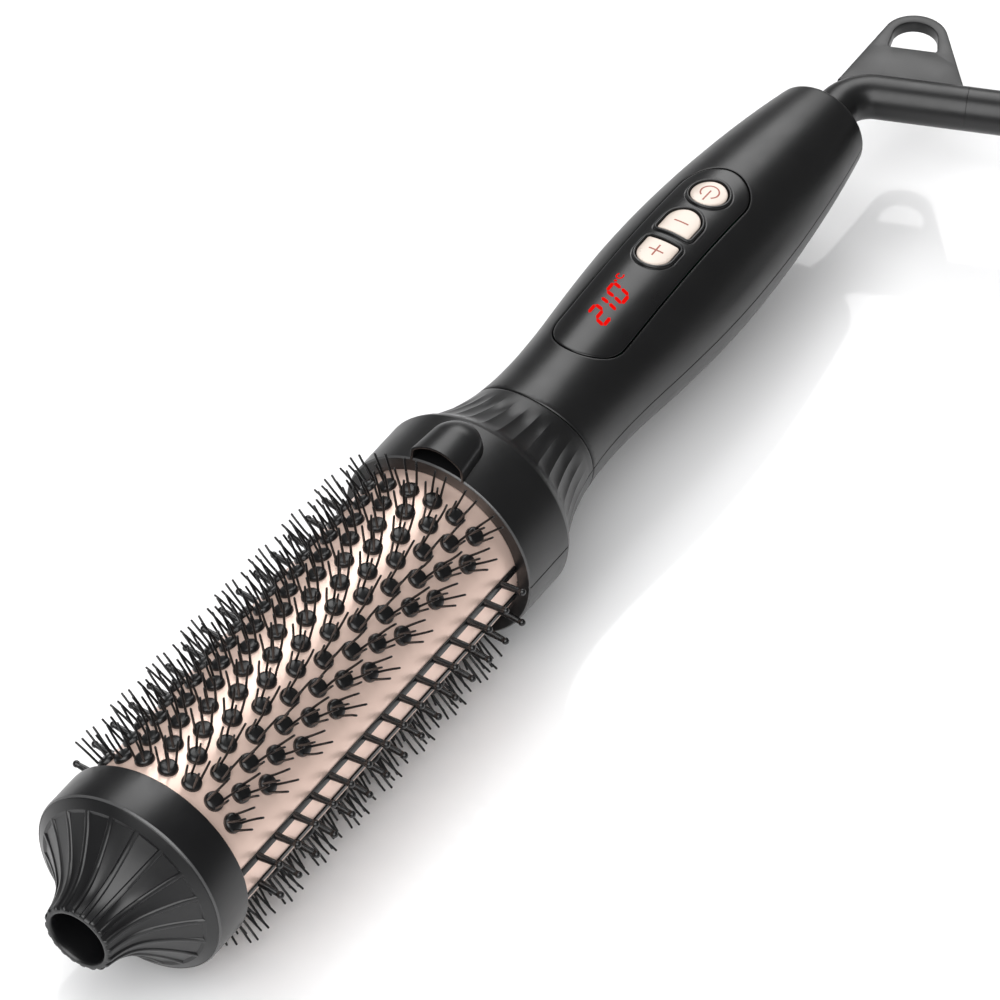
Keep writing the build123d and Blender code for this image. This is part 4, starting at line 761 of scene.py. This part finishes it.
nub_prof = [(2.05, 18.97), (2.04, 19.2), (2.01, 19.42), (1.94, 19.66), (1.80, 19.87), (1.58, 20.03), (1.25, 20.14), (0.7, 20.21), (0.0, 20.23)]
nub_V, nub_F = turned(nub_prof, 28)
rng = np.random.default_rng(11)
for name, half_a, node in (("bristles_upper", 0.0, "bristle_mat_upper"), ("bristles_lower", 180.0, "bristle_mat_lower")):
    b = Build()
    for i in range(-6, 7):
        a = i * ROW_STEP + half_a
        s0 = 31.05 if i % 2 == 0 else 36.70
        for k in range(8):
            M, O = frame_at(s0 + NUB_PITCH * k, a)
            b.add(nub_V @ M.T + O, nub_F)
            for ix in (-1, 1):
                for iy in (-1, 1):
                    j = rng.normal(0, 0.07, 4)
                    tip_z = 25.98 + 0.10 * rng.random()
                    V, F = rod((ix * 1.2, iy * 1.05, 19.9), (ix * 1.76 + j[0], iy * 1.38 + j[1], tip_z), 0.27, 0.235, bow=(j[2], j[3]))
                    b.add(V @ M.T + O, F)
    b.object(name, NYLON, "brush", sharp=50, replaces=(node,), merge=0, recalc=False)

# ------------------------------------------------------------------ pin combs along both sides
PIN_PITCH, PIN_S0 = 6.103, 118.35
ball_V, ball_F = [], []
for name, side_a, node in (("pin_comb_minus_y", 90.0, "pin_comb_right"), ("pin_comb_plus_y", -90.0, "pin_comb_left")):
    b = Build()
    for d in (11.6, -11.6):
        M, O = frame_at(0, side_a + d)
        # rail with rounded shoulders and closed ends
        w, top = 0.80, 19.38
        sect = [(-w, 18.6), (-w, top - 0.22), (-w + 0.06, top - 0.06), (-w + 0.22, top), (w - 0.22, top), (w - 0.06, top - 0.06), (w, top - 0.22), (w, 18.6)]
        rows = []
        for s in (26.35, 26.4, 50.0, 75.0, 100.0, 123.45, 123.5):
            shrink = 0.04 if s in (26.35, 123.5) else 0.0
            rows.append([M @ np.array([s, y * (1 - shrink), z - shrink]) + O for y, z in sect])
        b.grid(np.array(rows))
        b.fan(rows[0], M @ np.array([26.35, 0, 19.0]) + O)
        b.fan(rows[-1], M @ np.array([123.5, 0, 19.0]) + O)
        sgn = 1 if d > 0 else -1
        for k in range(15):
            s = PIN_S0 - PIN_PITCH * k
            Mr, Or = frame_at(s, side_a + d)
            root = Mr @ np.array([0, 0, 19.35]) + Or
            Mt, Ot = frame_at(s, side_a + sgn * 10.5)
            tip = Mt @ np.array([0, 0, 24.1]) + Ot
            ax = tip - root
            L = np.linalg.norm(ax); ax /= L
            u = np.array([1.0, 0, 0]); w_ = np.cross(ax, u)
            rows = []
            ball = [(L - 0.75 * cos(q), 0.75 * sin(q)) for q in np.linspace(radians(52), pi, 9)]
            for h, r in [(-0.25, 0.79), (0.1, 0.78), (0.5, 0.76)] + [(L * t, 0.77 + (0.60 - 0.77) * t) for t in (0.3, 0.6, 0.8)] + ball:
                rows.append([root + ax * h + (u * cos(t) + w_ * sin(t)) * max(r, 0.001) for t in np.linspace(0, 2 * pi, 16, endpoint=False)])
            b.grid(np.array(rows), close_v=True)
    b.object(name, PINS, "brush", sharp=40, replaces=(node,), merge=1e-3)

# ------------------------------------------------------------------ collar and neck
COLLAR_FRONT = 123.6
FLUTES, FLUTE_0 = 36, 9.4
FLUTE_P = 360.0 / FLUTES


def flute_depth(s, a):
    """scoops round the neck that meet in crisp edges; they start below the collar's crease and fade before the joint"""
    up = np.clip((s - 138.2) / 4.3, 0, 1)
    dn = np.clip((155.4 - s) / 7.0, 0, 1)
    env = (up * up * (3 - 2 * up)) * (dn * dn * (3 - 2 * dn))
    p = ((a - FLUTE_0) / FLUTE_P + 1e-6) % 1.0
    return 0.27 * env * 4 * p * (1 - p)


def neck_angles(a0, a1):
    """columns that follow the flutes, closer at their crisp edges and at the two seams"""
    cols = []
    k0 = int(math.floor((a0 - FLUTE_0) / FLUTE_P)) - 1
    for k in range(k0, k0 + FLUTES + 3):
        cols += [FLUTE_0 + FLUTE_P * (k + u) for u in (0.0, 0.03, 0.08, 0.15, 0.23, 0.31, 0.40, 0.50, 0.60, 0.69, 0.77, 0.85, 0.92, 0.97)]
    cols = [c for c in cols if a0 + 0.9 < c < a1 - 0.9]
    return np.array([a0 + 0.02, a0 + 0.30, a0 + 0.62] + cols + [a1 - 0.62, a1 - 0.30, a1 - 0.02])


def half_angles(a0, a1, step):
    """angles across a half shell with close columns at its two seams"""
    mids = np.arange(a0 + 1.0, a1 - 0.9, step)
    return np.concatenate([[a0 + 0.02, a0 + 0.30, a0 + 0.62], mids, [a1 - 0.62, a1 - 0.30, a1 - 0.02]])


def seam_drop(ang, a0, a1):
    edge = np.minimum(ang - a0, a1 - ang)
    return np.where(edge < 0.1, 0.22, np.where(edge < 0.4, 0.05, 0.0))


for name, a0, a1, node in (("collar_upper", -90.0, 90.0, "collar_upper_shell"), ("collar_lower", 90.0, 270.0, "collar_lower_shell")):
    A = neck_angles(a0, a1)
    drop = seam_drop(A, a0, a1)[None, :]
    b = Build()

    def seg(pts, extra=None):
        s = np.array([p[0] for p in pts])[:, None]
        r = np.array([p[1] for p in pts])[:, None] - drop
        if extra is not None:
            r = r - extra(s, A[None, :])
        b.grid(around(s, r, A[None, :]))
    seg([(131.0, 19.1), (124.0, 19.1), (123.62, 19.2)])
    seg([(123.62, 19.2), (123.6, 19.35), (123.6, 20.5), (123.6, 21.97)])
    seg([(123.95, 22.32), (124.3, 22.33), (130.0, 22.36), (137.75, 22.4)])
    # front chamfer of the collar, in the lighter black that paints its highlight line
    e_ = Build()
    bev_s, bev_r = np.array([123.6, 123.65, 123.87, 123.95])[:, None], np.array([21.97, 22.06, 22.28, 22.32])[:, None]
    e_.grid(around(bev_s, bev_r - drop, A[None, :]))
    e_.object(name + "_bevel", PAINTED_EDGE_HIGHLIGHT, "brush", sharp=60, merge=0)
    ns = np.array([137.75, 137.85, 138.2] + list(np.linspace(138.7, 156.75, 54)) + [156.95, 157.08, 157.1, 157.1])
    lift = np.array([0.0] * 57 + [-0.07, -0.25, -0.6, -1.9])[:, None]
    S2 = ns[:, None] + joint_shift(ns[:, None], A[None, :])
    R2 = np.where(ns[:, None] < 137.8, 22.4, body_r(np.maximum(S2, 137.8))) + lift - drop - flute_depth(ns[:, None], A[None, :])
    b.grid(around(S2, R2, A[None, :]))
    b.object(name, BLACK, "brush", sharp=20, replaces=(node,), merge=0)

# bonnet over the ion outlet: straight sides that close in a little, a round end and a crowned top
HOOD_W0, HOOD_W1, HOOD_MID, HOOD_H = 6.5, 5.75, 6.7, 4.62


def hood_section(q):
    """height share from the middle (0) to the foot (1): a crown, a small round shoulder and a steep wall"""
    t = abs(q) * 6.45
    if t < 4.9:
        h = 4.65 - 0.065 * t * t
    elif t < 5.72:
        u = (t - 4.9) / 0.82
        for _ in range(3):
            x_u = 4.9 * (1 - u) ** 2 + 2 * 5.541 * u * (1 - u) + 5.72 * u * u
            u -= (x_u - t) / (2 * (1 - u) * 0.641 + 2 * u * 0.179 + 1e-9)
        h = 3.09 * (1 - u) ** 2 + 2 * 2.68 * u * (1 - u) + 2.05 * u * u
    else:
        h = 2.05 * (6.45 - t) / 0.73
    return h / 4.65


HOOD_Q = [1.0, 0.985, 0.96, 0.93, 0.905, 0.887, 0.875, 0.862, 0.848, 0.832, 0.815, 0.795, 0.77, 0.73, 0.66, 0.56, 0.44, 0.30, 0.15, 0.0]


def hood_sheet(inset, shell, base):
    """one skin of the bonnet; ribs run from its foot to its middle line, along one side, round the end and back"""
    w0, w1 = HOOD_W0 - inset, HOOD_W1 - inset
    ribs = [(x, 0.0, x, w0 + (w1 - w0) * x / HOOD_MID) for x in np.linspace(0, HOOD_MID, 12)]
    ribs += [(HOOD_MID, 0.0, HOOD_MID + w1 * cos(q), w1 * sin(q)) for q in np.radians(np.linspace(90, -90, 61)[1:-1])]
    ribs += [(x, 0.0, x, -(w0 + (w1 - w0) * x / HOOD_MID)) for x in np.linspace(HOOD_MID, 0, 12)]
    rows = []
    for cx, cy, ox, oy in ribs:
        def at(q, h):
            x, y = cx + (ox - cx) * q, cy + (oy - cy) * q
            return around(COLLAR_FRONT + x, 22.4 + h, math.degrees(y / 22.4))
        rows.append([at(1.0, base)] + [at(q, (HOOD_H - shell) * hood_section(q)) for q in HOOD_Q])
    return np.array(rows)


b = Build()
outer_skin = hood_sheet(0.0, 0.0, -0.6)
inner_skin = hood_sheet(0.6, 0.58, -0.9)
b.grid(outer_skin)
b.grid(inner_skin)
for k in (0, -1):
    fo, fi = outer_skin[k], inner_skin[k]
    b.grid(np.array([fo, fo * 0.85 + fi * 0.15 + np.array([-0.05, 0, 0]), fo * 0.5 + fi * 0.5 + np.array([-0.08, 0, 0]), fo * 0.15 + fi * 0.85 + np.array([-0.05, 0, 0]), fi]))
hood = b.object("ion_bonnet", BLACK, "brush", sharp=45, replaces=("ion_hood",), merge=1e-3)

# ------------------------------------------------------------------ grip shells and control panel
PANEL_S0, PANEL_S1, PANEL_W = 173.9, 238.5, 16.6
POWER_S, POWER_R = 229.05, 4.0
MINUS_S0, MINUS_S1 = 214.1, 222.0
PLUS_S0, PLUS_S1 = 203.2, 210.8
KEY_HALF = 3.85


def stadium_dist(p):
    """signed distance to the panel's outline in plan, positive outside"""
    w = PANEL_W / 2
    s = np.clip(p[..., 0], PANEL_S0 + w, PANEL_S1 - w)
    return np.hypot(p[..., 0] - s, p[..., 1]) - w


def stadium_loop(off, step=0.55):
    w = PANEL_W / 2 + off
    c0, c1 = PANEL_S0 + PANEL_W / 2, PANEL_S1 - PANEL_W / 2
    n_a = int(pi * w / step)
    n_s = int((c1 - c0) / step)
    pts = [(c1 + w * sin(q), w * cos(q)) for q in np.linspace(0, pi, n_a, endpoint=False)]
    pts += [(s, -w) for s in np.linspace(c1, c0, n_s, endpoint=False)]
    pts += [(c0 - w * sin(q), -w * cos(q)) for q in np.linspace(0, pi, n_a, endpoint=False)]
    pts += [(s, w) for s in np.linspace(c0, c1, n_s, endpoint=False)]
    return np.array(pts)


def d_key_loop(s_flat, s_round, off, step=0.3):
    """closed outline of a D-shaped key, grown by off; its two flat corners are rounded. The number of points doesn't depend on off"""
    d = 1 if s_round > s_flat else -1
    h = KEY_HALF + off
    c = s_round - d * KEY_HALF
    f = s_flat - d * off
    cr = 0.6 + max(off, -0.4)
    n_r, n_s, n_f = int(pi * KEY_HALF / step), max(2, int(abs(c - s_flat) / step)), int(2 * KEY_HALF / step)
    pts = [(c + d * h * sin(q), h * cos(q)) for q in np.linspace(0, pi, n_r)]
    pts += [(s, -h) for s in np.linspace(c, f + d * cr, n_s)[1:]]
    pts += [(f + d * cr - d * cr * sin(q), -h + cr - cr * cos(q)) for q in np.linspace(0, pi / 2, 8)[1:]]
    pts += [(f, y) for y in np.linspace(-h + cr, h - cr, n_f)[1:]]
    pts += [(f + d * cr - d * cr * cos(q), h - cr + cr * sin(q)) for q in np.linspace(0, pi / 2, 8)[1:]]
    pts += [(s, h) for s in np.linspace(f + d * cr, c, n_s)[1:-1]]
    return np.array(pts)


def disc_loop(s, r, off=0.0, step=0.3):
    n = int(2 * pi * r / step)
    return np.array([(s + (r + off) * cos(q), (r + off) * sin(q)) for q in np.linspace(0, 2 * pi, n, endpoint=False)])


def poly_inside(poly, pts):
    """which of the points lie inside the closed loop"""
    x, y = pts[:, 0], pts[:, 1]
    c = np.zeros(len(pts), bool)
    P = np.asarray(poly)
    Q = np.roll(P, -1, 0)
    for (x1, y1), (x2, y2) in zip(P, Q):
        if y1 == y2:
            continue
        hit = ((y1 > y) != (y2 > y)) & (x < (x2 - x1) * (y - y1) / (y2 - y1) + x1)
        c ^= hit
    return c


def near_loop(poly, pts):
    P = np.asarray(poly)
    out = np.full(len(pts), 1e9)
    for p, q in zip(P, np.roll(P, -1, 0)):
        d = q - p
        t = np.clip(((pts - p) @ d) / (d @ d + 1e-12), 0, 1)
        out = np.minimum(out, np.linalg.norm(pts - (p + t[:, None] * d), axis=1))
    return out


def patch(outer_loop, rings, holes, spacing, clear):
    """triangles that fill a loop, with rings of points to follow and holes to leave open (plan coordinates)"""
    loops = [np.asarray(outer_loop)] + [np.asarray(r_) for r_ in rings] + [np.asarray(h_) for h_ in holes]
    pts, edges = [], []
    for L in loops:
        o = len(pts)
        pts += [tuple(p) for p in L]
        edges += [(o + i, o + (i + 1) % len(L)) for i in range(len(L))]
    lo, hi = np.min(loops[0], 0), np.max(loops[0], 0)
    gx = np.arange(lo[0], hi[0], spacing[0]); gy = np.arange(lo[1], hi[1], spacing[1])
    G = np.array([(x + (0.5 * spacing[0] if j % 2 else 0.0), y) for j, y in enumerate(gy) for x in gx])
    G = G[poly_inside(loops[0], G)]
    for h_ in holes:
        G = G[~poly_inside(h_, G)]
    for L in loops:
        G = G[near_loop(L, G) > clear]
    pts += [tuple(p) for p in G]
    res = delaunay_2d_cdt([Vector(p) for p in pts], edges, [], 0, 1e-7)
    V = np.array([(v[0], v[1]) for v in res[0]])
    T = np.array([f for f in res[2] if len(f) == 3])
    C = V[T].mean(1)
    ok = poly_inside(loops[0], C)
    for h_ in holes:
        ok &= ~poly_inside(h_, C)
    return V, T[ok]


def on_grip(p, h):
    """plan point (station, sideways towards -Y) to a place h above the grip's surface"""
    s, y = p[..., 0], p[..., 1]
    R = grip_r(s)
    z = np.sqrt(np.maximum(R * R - y * y, 0.0))
    n = np.stack([np.zeros_like(s), -y / R, z / R], -1)
    base = np.stack([s - X0, -y, ZC + z], -1)
    return base + n * np.asarray(h)[..., None]


# upper shell, drawn out flat as (station, arc length at a mean radius) so that the triangles keep their shape
RM = 15.5


def flat_of(p):
    a = np.arcsin(np.clip(p[..., 1] / grip_r(p[..., 0]), -1, 1))
    return np.stack([p[..., 0], a * RM], -1)


def grip_from_flat(q, h):
    a = q[..., 1] / RM
    s = q[..., 0] + joint_shift(q[..., 0], np.degrees(a))
    R = body_r(s) + h
    return np.stack([s - X0, -R * np.sin(a), ZC + R * np.cos(a)], -1)


def grip_front(build, A):
    """front face of a grip shell, inside the joint line"""
    s = 157.35 + joint_shift(157.35, A)
    R = body_r(s)
    rows = [around(s, R - 0.20, A), around(s - 0.02, R - 0.45, A), around(s - 0.02, R - 1.9, A)]
    build.grid(np.array(rows))


S_A, S_B = 157.35, 276.2
edge_w = radians(90) * RM
nS, nA = 150, 60
e_in = 0.09
frame_loop = [(s, -edge_w) for s in np.linspace(S_A, S_B, nS, endpoint=False)] + [(S_B, y) for y in np.linspace(-edge_w, edge_w, nA, endpoint=False)]
frame_loop += [(s, edge_w) for s in np.linspace(S_B, S_A, nS, endpoint=False)] + [(S_A, y) for y in np.linspace(edge_w, -edge_w, nA, endpoint=False)]
frame_loop = np.array(frame_loop)


def frame_inset(d, front=True):
    x0, x1, w = S_A + (d if front else 0.0), S_B - d, edge_w - d
    L = [(s, -w) for s in np.linspace(x0, x1, nS, endpoint=False)] + [(x1, y) for y in np.linspace(-w, w, nA, endpoint=False)]
    L += [(s, w) for s in np.linspace(x1, x0, nS, endpoint=False)] + [(x0, y) for y in np.linspace(w, -w, nA, endpoint=False)]
    return np.array(L)


hole = flat_of(stadium_loop(0.0))
V, T = patch(frame_loop, [frame_inset(0.09), frame_inset(0.2), frame_inset(0.27), flat_of(stadium_loop(0.09)), flat_of(stadium_loop(0.22)), flat_of(stadium_loop(0.5))], [hole], (0.95, 0.95), 0.42)
dist = near_loop(hole, V)
edge, front = edge_w - np.abs(V[:, 1]), V[:, 0] - S_A
h = np.where(dist < 0.02, -0.32, np.where(dist < 0.13, -0.06, 0.0))
h = np.where(edge < 0.02, -0.24, np.where(edge < 0.13, -0.05, h))
h = np.minimum(h, np.interp(front, [0.0, 0.09, 0.2, 0.27, 9.0], [-0.20, -0.13, -0.03, 0.0, 0.0]))
b = Build()
b.add(grip_from_flat(V, h), [tuple(t) for t in T])
# wall of the panel opening
ring_top = grip_from_flat(hole, np.full(len(hole), -0.32)); ring_low = grip_from_flat(hole, np.full(len(hole), -1.8))
b.grid(np.array([ring_top, ring_low]), close_v=True)
A = half_angles(-90, 90, 3.0)
grip_front(b, A)


def tail_end(build, a0, a1):
    """rounded end of the grip, its flat face and the hole for the cord stem"""
    AA = half_angles(a0, a1, 2.5)
    rt = float(grip_r(276.2))
    prof = [(276.2, rt), (276.6, rt - 0.10), (276.9, rt - 0.32), (277.05, rt - 0.62), (277.1, rt - 0.95), (277.1, 6.1), (276.95, 5.75), (276.6, 5.6), (273.0, 5.6)]
    s = np.array([p[0] for p in prof])[:, None]; r = np.array([p[1] for p in prof])[:, None]
    dr = seam_drop(AA, a0, a1)[None, :] * (s < 277.0)
    build.grid(around(s, r - dr, AA[None, :]))


tail_end(b, -90.0, 90.0)
grip_up = b.object("grip_upper", BLACK, "brush", sharp=40, replaces=("handle_upper_shell",), merge=1e-3)

b = Build()
A = half_angles(90.0, 270.0, 2.5)
ss = np.concatenate([[157.35, 157.44, 157.55, 157.62], np.linspace(158.2, 276.2, 120)])
dr = np.maximum(seam_drop(A, 90.0, 270.0)[None, :], np.interp(ss, [157.35, 157.44, 157.55, 157.62, 300.0], [0.20, 0.13, 0.03, 0.0, 0.0])[:, None])
S2 = ss[:, None] + joint_shift(ss[:, None], A[None, :])
b.grid(around(S2, body_r(S2) - dr, A[None, :]))
grip_front(b, A)
tail_end(b, 90.0, 270.0)
grip_low = b.object("grip_lower", BLACK, "brush", sharp=40, replaces=("handle_lower_shell",), merge=1e-3)
# counterbores of the two shell screws, as plain plugs let into the underside
b = Build()
for s in (163.6, 248.6):
    R = float(grip_r(s))
    rows = []
    for r, dz in ((3.0, 0.25), (2.86, -0.05), (2.6, -0.14), (2.45, -0.10), (2.3, 0.5), (2.2, 1.4), (0.01, 1.4)):
        rows.append([(s - X0 + r * cos(q), r * sin(q), ZC - sqrt(R * R - (r * sin(q)) ** 2) + dz) for q in np.linspace(0, 2 * pi, 40, endpoint=False)])
    b.grid(np.array(rows), close_v=True)
b.object("screw_wells", BLACK, "brush", sharp=45)

# panel with raised lips round the keys
GAP = 0.30
KEYS = {
    "power": lambda off, step=0.3: disc_loop(POWER_S, POWER_R, off, step),
    "minus": lambda off, step=0.3: d_key_loop(MINUS_S0, MINUS_S1, off, step),
    "plus": lambda off, step=0.3: d_key_loop(PLUS_S1, PLUS_S0, off, step),
}
LIP = [(GAP, 0.36), (GAP + 0.05, 0.43), (GAP + 0.13, 0.47), (GAP + 0.30, 0.49), (GAP + 0.47, 0.47), (GAP + 0.56, 0.42), (GAP + 0.63, 0.32),
       (GAP + 0.69, 0.12), (GAP + 0.73, -0.02), (GAP + 0.78, -0.06), (GAP + 0.84, -0.05), (GAP + 0.90, 0.0)]
LIP_STEP = 0.2
key_feet = [fn(LIP[-1][0], LIP_STEP) for fn in KEYS.values()]
rings = [stadium_loop(-0.34), stadium_loop(-0.46), stadium_loop(-0.75)] + [fn(LIP[-1][0] + 0.22, LIP_STEP) for fn in KEYS.values()]
V, T = patch(stadium_loop(-0.24), rings, key_feet, (0.8, 0.8), 0.30)
e = -stadium_dist(V)
h = np.where(e < 0.27, -0.32, np.where(e < 0.38, -0.06, 0.0))
b = Build()
b.add(on_grip(V, h), [tuple(t) for t in T])
for fn in KEYS.values():
    band = [on_grip(fn(off, LIP_STEP), np.full(len(fn(off, LIP_STEP)), hh)) for off, hh in LIP]
    L = fn(GAP, LIP_STEP)
    b.grid(np.array([on_grip(L, np.full(len(L), -1.6)), on_grip(L, np.full(len(L), -0.4))] + band), close_v=True)
L = stadium_loop(-0.24)
b.grid(np.array([on_grip(L, np.full(len(L), -0.32)), on_grip(L, np.full(len(L), -1.6))]), close_v=True)
panel = b.object("panel_face", PANEL, "brush", sharp=50, replaces=("control_panel",), merge=1e-3)


def key_cap(name, fn, body, node):
    """a key with a softly rounded edge that follows the curve of the grip"""
    rings_ = [fn(-0.02, 0.25), fn(-0.08, 0.25), fn(-0.18, 0.25), fn(-0.34, 0.25), fn(-0.6, 0.3)]
    V, T = patch(fn(0.0, 0.25), rings_, [], (0.55, 0.55), 0.22)
    dk = near_loop(fn(0.0, 0.12), V)
    h = np.interp(dk, [0.0, 0.02, 0.08, 0.18, 0.34, 0.6, 4.0], [0.0, 0.04, 0.11, 0.15, 0.165, 0.175, 0.18])
    b = Build()
    b.add(on_grip(V, h), [tuple(t) for t in T])
    L = fn(0.0, 0.25)
    b.grid(np.array([on_grip(L, np.full(len(L), 0.0)), on_grip(L, np.full(len(L), -0.8)), on_grip(L, np.full(len(L), -1.9))]), close_v=True)
    return b.object(name, KEY, body, sharp=50, replaces=(node,), merge=1e-3)


key_cap("power_key_cap", KEYS["power"], "power_key", "power_button")
key_cap("minus_key_cap", KEYS["minus"], "minus_key", "minus_button")
key_cap("plus_key_cap", KEYS["plus"], "plus_key", "plus_button")


def inlay(name, polys, mat, body, height, thick=0.02, replaces=(), step=0.3):
    """flat printed or lit shapes laid on the curved surface"""
    b = Build()
    for poly in polys:
        poly = densify(poly, step)
        V, T = patch(poly, [], [], (step * 2, step * 2), step * 0.6)
        b.add(on_grip(V, np.full(len(V), height)), [tuple(t) for t in T])
        b.grid(np.array([on_grip(poly, np.full(len(poly), height)), on_grip(poly, np.full(len(poly), height - thick - 0.05))]), close_v=True)
    return b.object(name, mat, body, sharp=50, replaces=replaces, merge=1e-4)


def bar(s0, y0, s1, y1, w):
    p, q = np.array([s0, y0], float), np.array([s1, y1], float)
    d = (q - p) / np.linalg.norm(q - p)
    n = np.array([-d[1], d[0]]) * w / 2
    return [p - n, q - n, q + n, p + n]


def ring_seg(s, y, r, w, a0, a1, n=40):
    o = [(s + (r + w / 2) * cos(radians(a)), y + (r + w / 2) * sin(radians(a))) for a in np.linspace(a0, a1, n)]
    i = [(s + (r - w / 2) * cos(radians(a)), y + (r - w / 2) * sin(radians(a))) for a in np.linspace(a1, a0, n)]
    return o + i


inlay("minus_symbol", [bar(217.7, -1.7, 217.7, 1.7, 0.38)], ICON, "minus_key", 0.195)
inlay("plus_symbol", [bar(207.5, -1.75, 207.5, 1.75, 0.38), bar(205.75, 0, 207.30, 0, 0.38), bar(207.70, 0, 209.25, 0, 0.38)], ICON, "plus_key", 0.195)
inlay("power_symbol", [ring_seg(229.35, 0, 2.0, 0.36, -145, 145), bar(226.3, 0, 229.9, 0, 0.36)], ICON, "power_key", 0.195)

# lit digits, read towards the cord end with their tops towards +Y
DIG_H, DIG_W, SEG_W, SLANT, DIG_UP, SEG_GAP = 5.6, 2.76, 0.86, 0.35, 0.42, 0.07


def seg_h(s0, y, w=DIG_W):
    g, hh = SEG_GAP, SEG_W / 2
    a, c = s0 + g, s0 + w - g

    def q(s, yy):
        return (s + SLANT * (yy + DIG_H / 2), -(yy + DIG_UP))
    return [q(a, y), q(a + hh, y + hh), q(c - hh, y + hh), q(c, y), q(c - hh, y - hh), q(a + hh, y - hh)]


def seg_v(s0, y0, y1):
    g, hh = SEG_GAP, SEG_W / 2

    def q(ds, y):
        return (s0 + ds + SLANT * (y + DIG_H / 2), -(y + DIG_UP))
    a, c = y0 + g, y1 - g
    return [q(0, a), q(hh, a + hh), q(hh, c - hh), q(0, c), q(-hh, c - hh), q(-hh, a + hh)]


H2 = DIG_H / 2 - SEG_W / 2
two, one, nil = 183.45, 188.49, 190.60
digits = [seg_h(two, H2), seg_v(two + DIG_W, 0, H2), seg_h(two, 0), seg_v(two, -H2, 0), seg_h(two, -H2),
          seg_v(one, 0, H2), seg_v(one, -H2, 0),
          seg_h(nil, H2), seg_v(nil + DIG_W, 0, H2), seg_v(nil + DIG_W, -H2, 0), seg_h(nil, -H2), seg_v(nil, -H2, 0), seg_v(nil, 0, H2),
          [(195.87 + 0.36 * cos(q), -2.75 + 0.36 * sin(q)) for q in np.linspace(0, 2 * pi, 16, endpoint=False)],
          ring_seg(197.50, -2.66, 0.76, 0.38, 40, 320, 24)]
inlay("lit_digits", digits, RED, "brush", 0.03, replaces=("display_digits",), step=0.4)

# ------------------------------------------------------------------ floor, world and lights
fl = bpy.data.meshes.new("floor")
fl.from_pydata([(-4, -4, 0), (4, -4, 0), (4, 4, 0), (-4, 4, 0)], [], [(0, 1, 2, 3)])
floor = bpy.data.objects.new("floor", fl)
bpy.context.scene.collection.objects.link(floor)
fmat, nt, fb = new_mat("pale_floor")
fb.inputs["Base Color"].default_value = (0.93, 0.93, 0.935, 1)
fb.inputs["Roughness"].default_value = 0.07
fb.inputs["IOR"].default_value = 1.40
fl.materials.append(fmat)

world = bpy.data.worlds.new("studio")
bpy.context.scene.world = world
world.use_nodes = True
bg = world.node_tree.nodes["Background"]
bg.inputs[0].default_value = (1, 1, 1, 1)
bg.inputs[1].default_value = 0.15

bpy.context.scene.view_settings.view_transform = "Standard"
bpy.context.scene.view_settings.look = "None"


def softbox(name, direction, distance, size, power, across=None, aim=(0.0, 0.0, 0.02)):
    """a studio softbox that faces the aim point; across is the way its first side runs"""
    ld = bpy.data.lights.new(name, "AREA")
    ld.shape = "RECTANGLE"
    ld.size, ld.size_y = size
    ld.energy = power
    o = bpy.data.objects.new(name, ld)
    bpy.context.scene.collection.objects.link(o)
    d = Vector(direction).normalized()
    if across is None:
        across = Vector((0, 0, 1)).cross(d)
    x = Vector(across)
    x = (x - d * x.dot(d)).normalized()
    y = d.cross(x)
    M = Matrix.Identity(4)
    for i, v in enumerate((x, y, d)):
        for j in range(3):
            M[j][i] = v[j]
    M.translation = Vector(aim) + d * distance
    o.matrix_world = M
    o.visible_camera = False
    return o


# a long softbox behind the brush gives the soft band along its upper side, and one in front lifts the floor
softbox("strip_back", (0.596, 0.345, 0.725), 1.7, (1.02, 1.6), 19.0, across=(0, 0.90, -0.43))
softbox("fill_front", (-0.70, -0.20, 0.85), 1.9, (2.0, 2.0), 50.0)
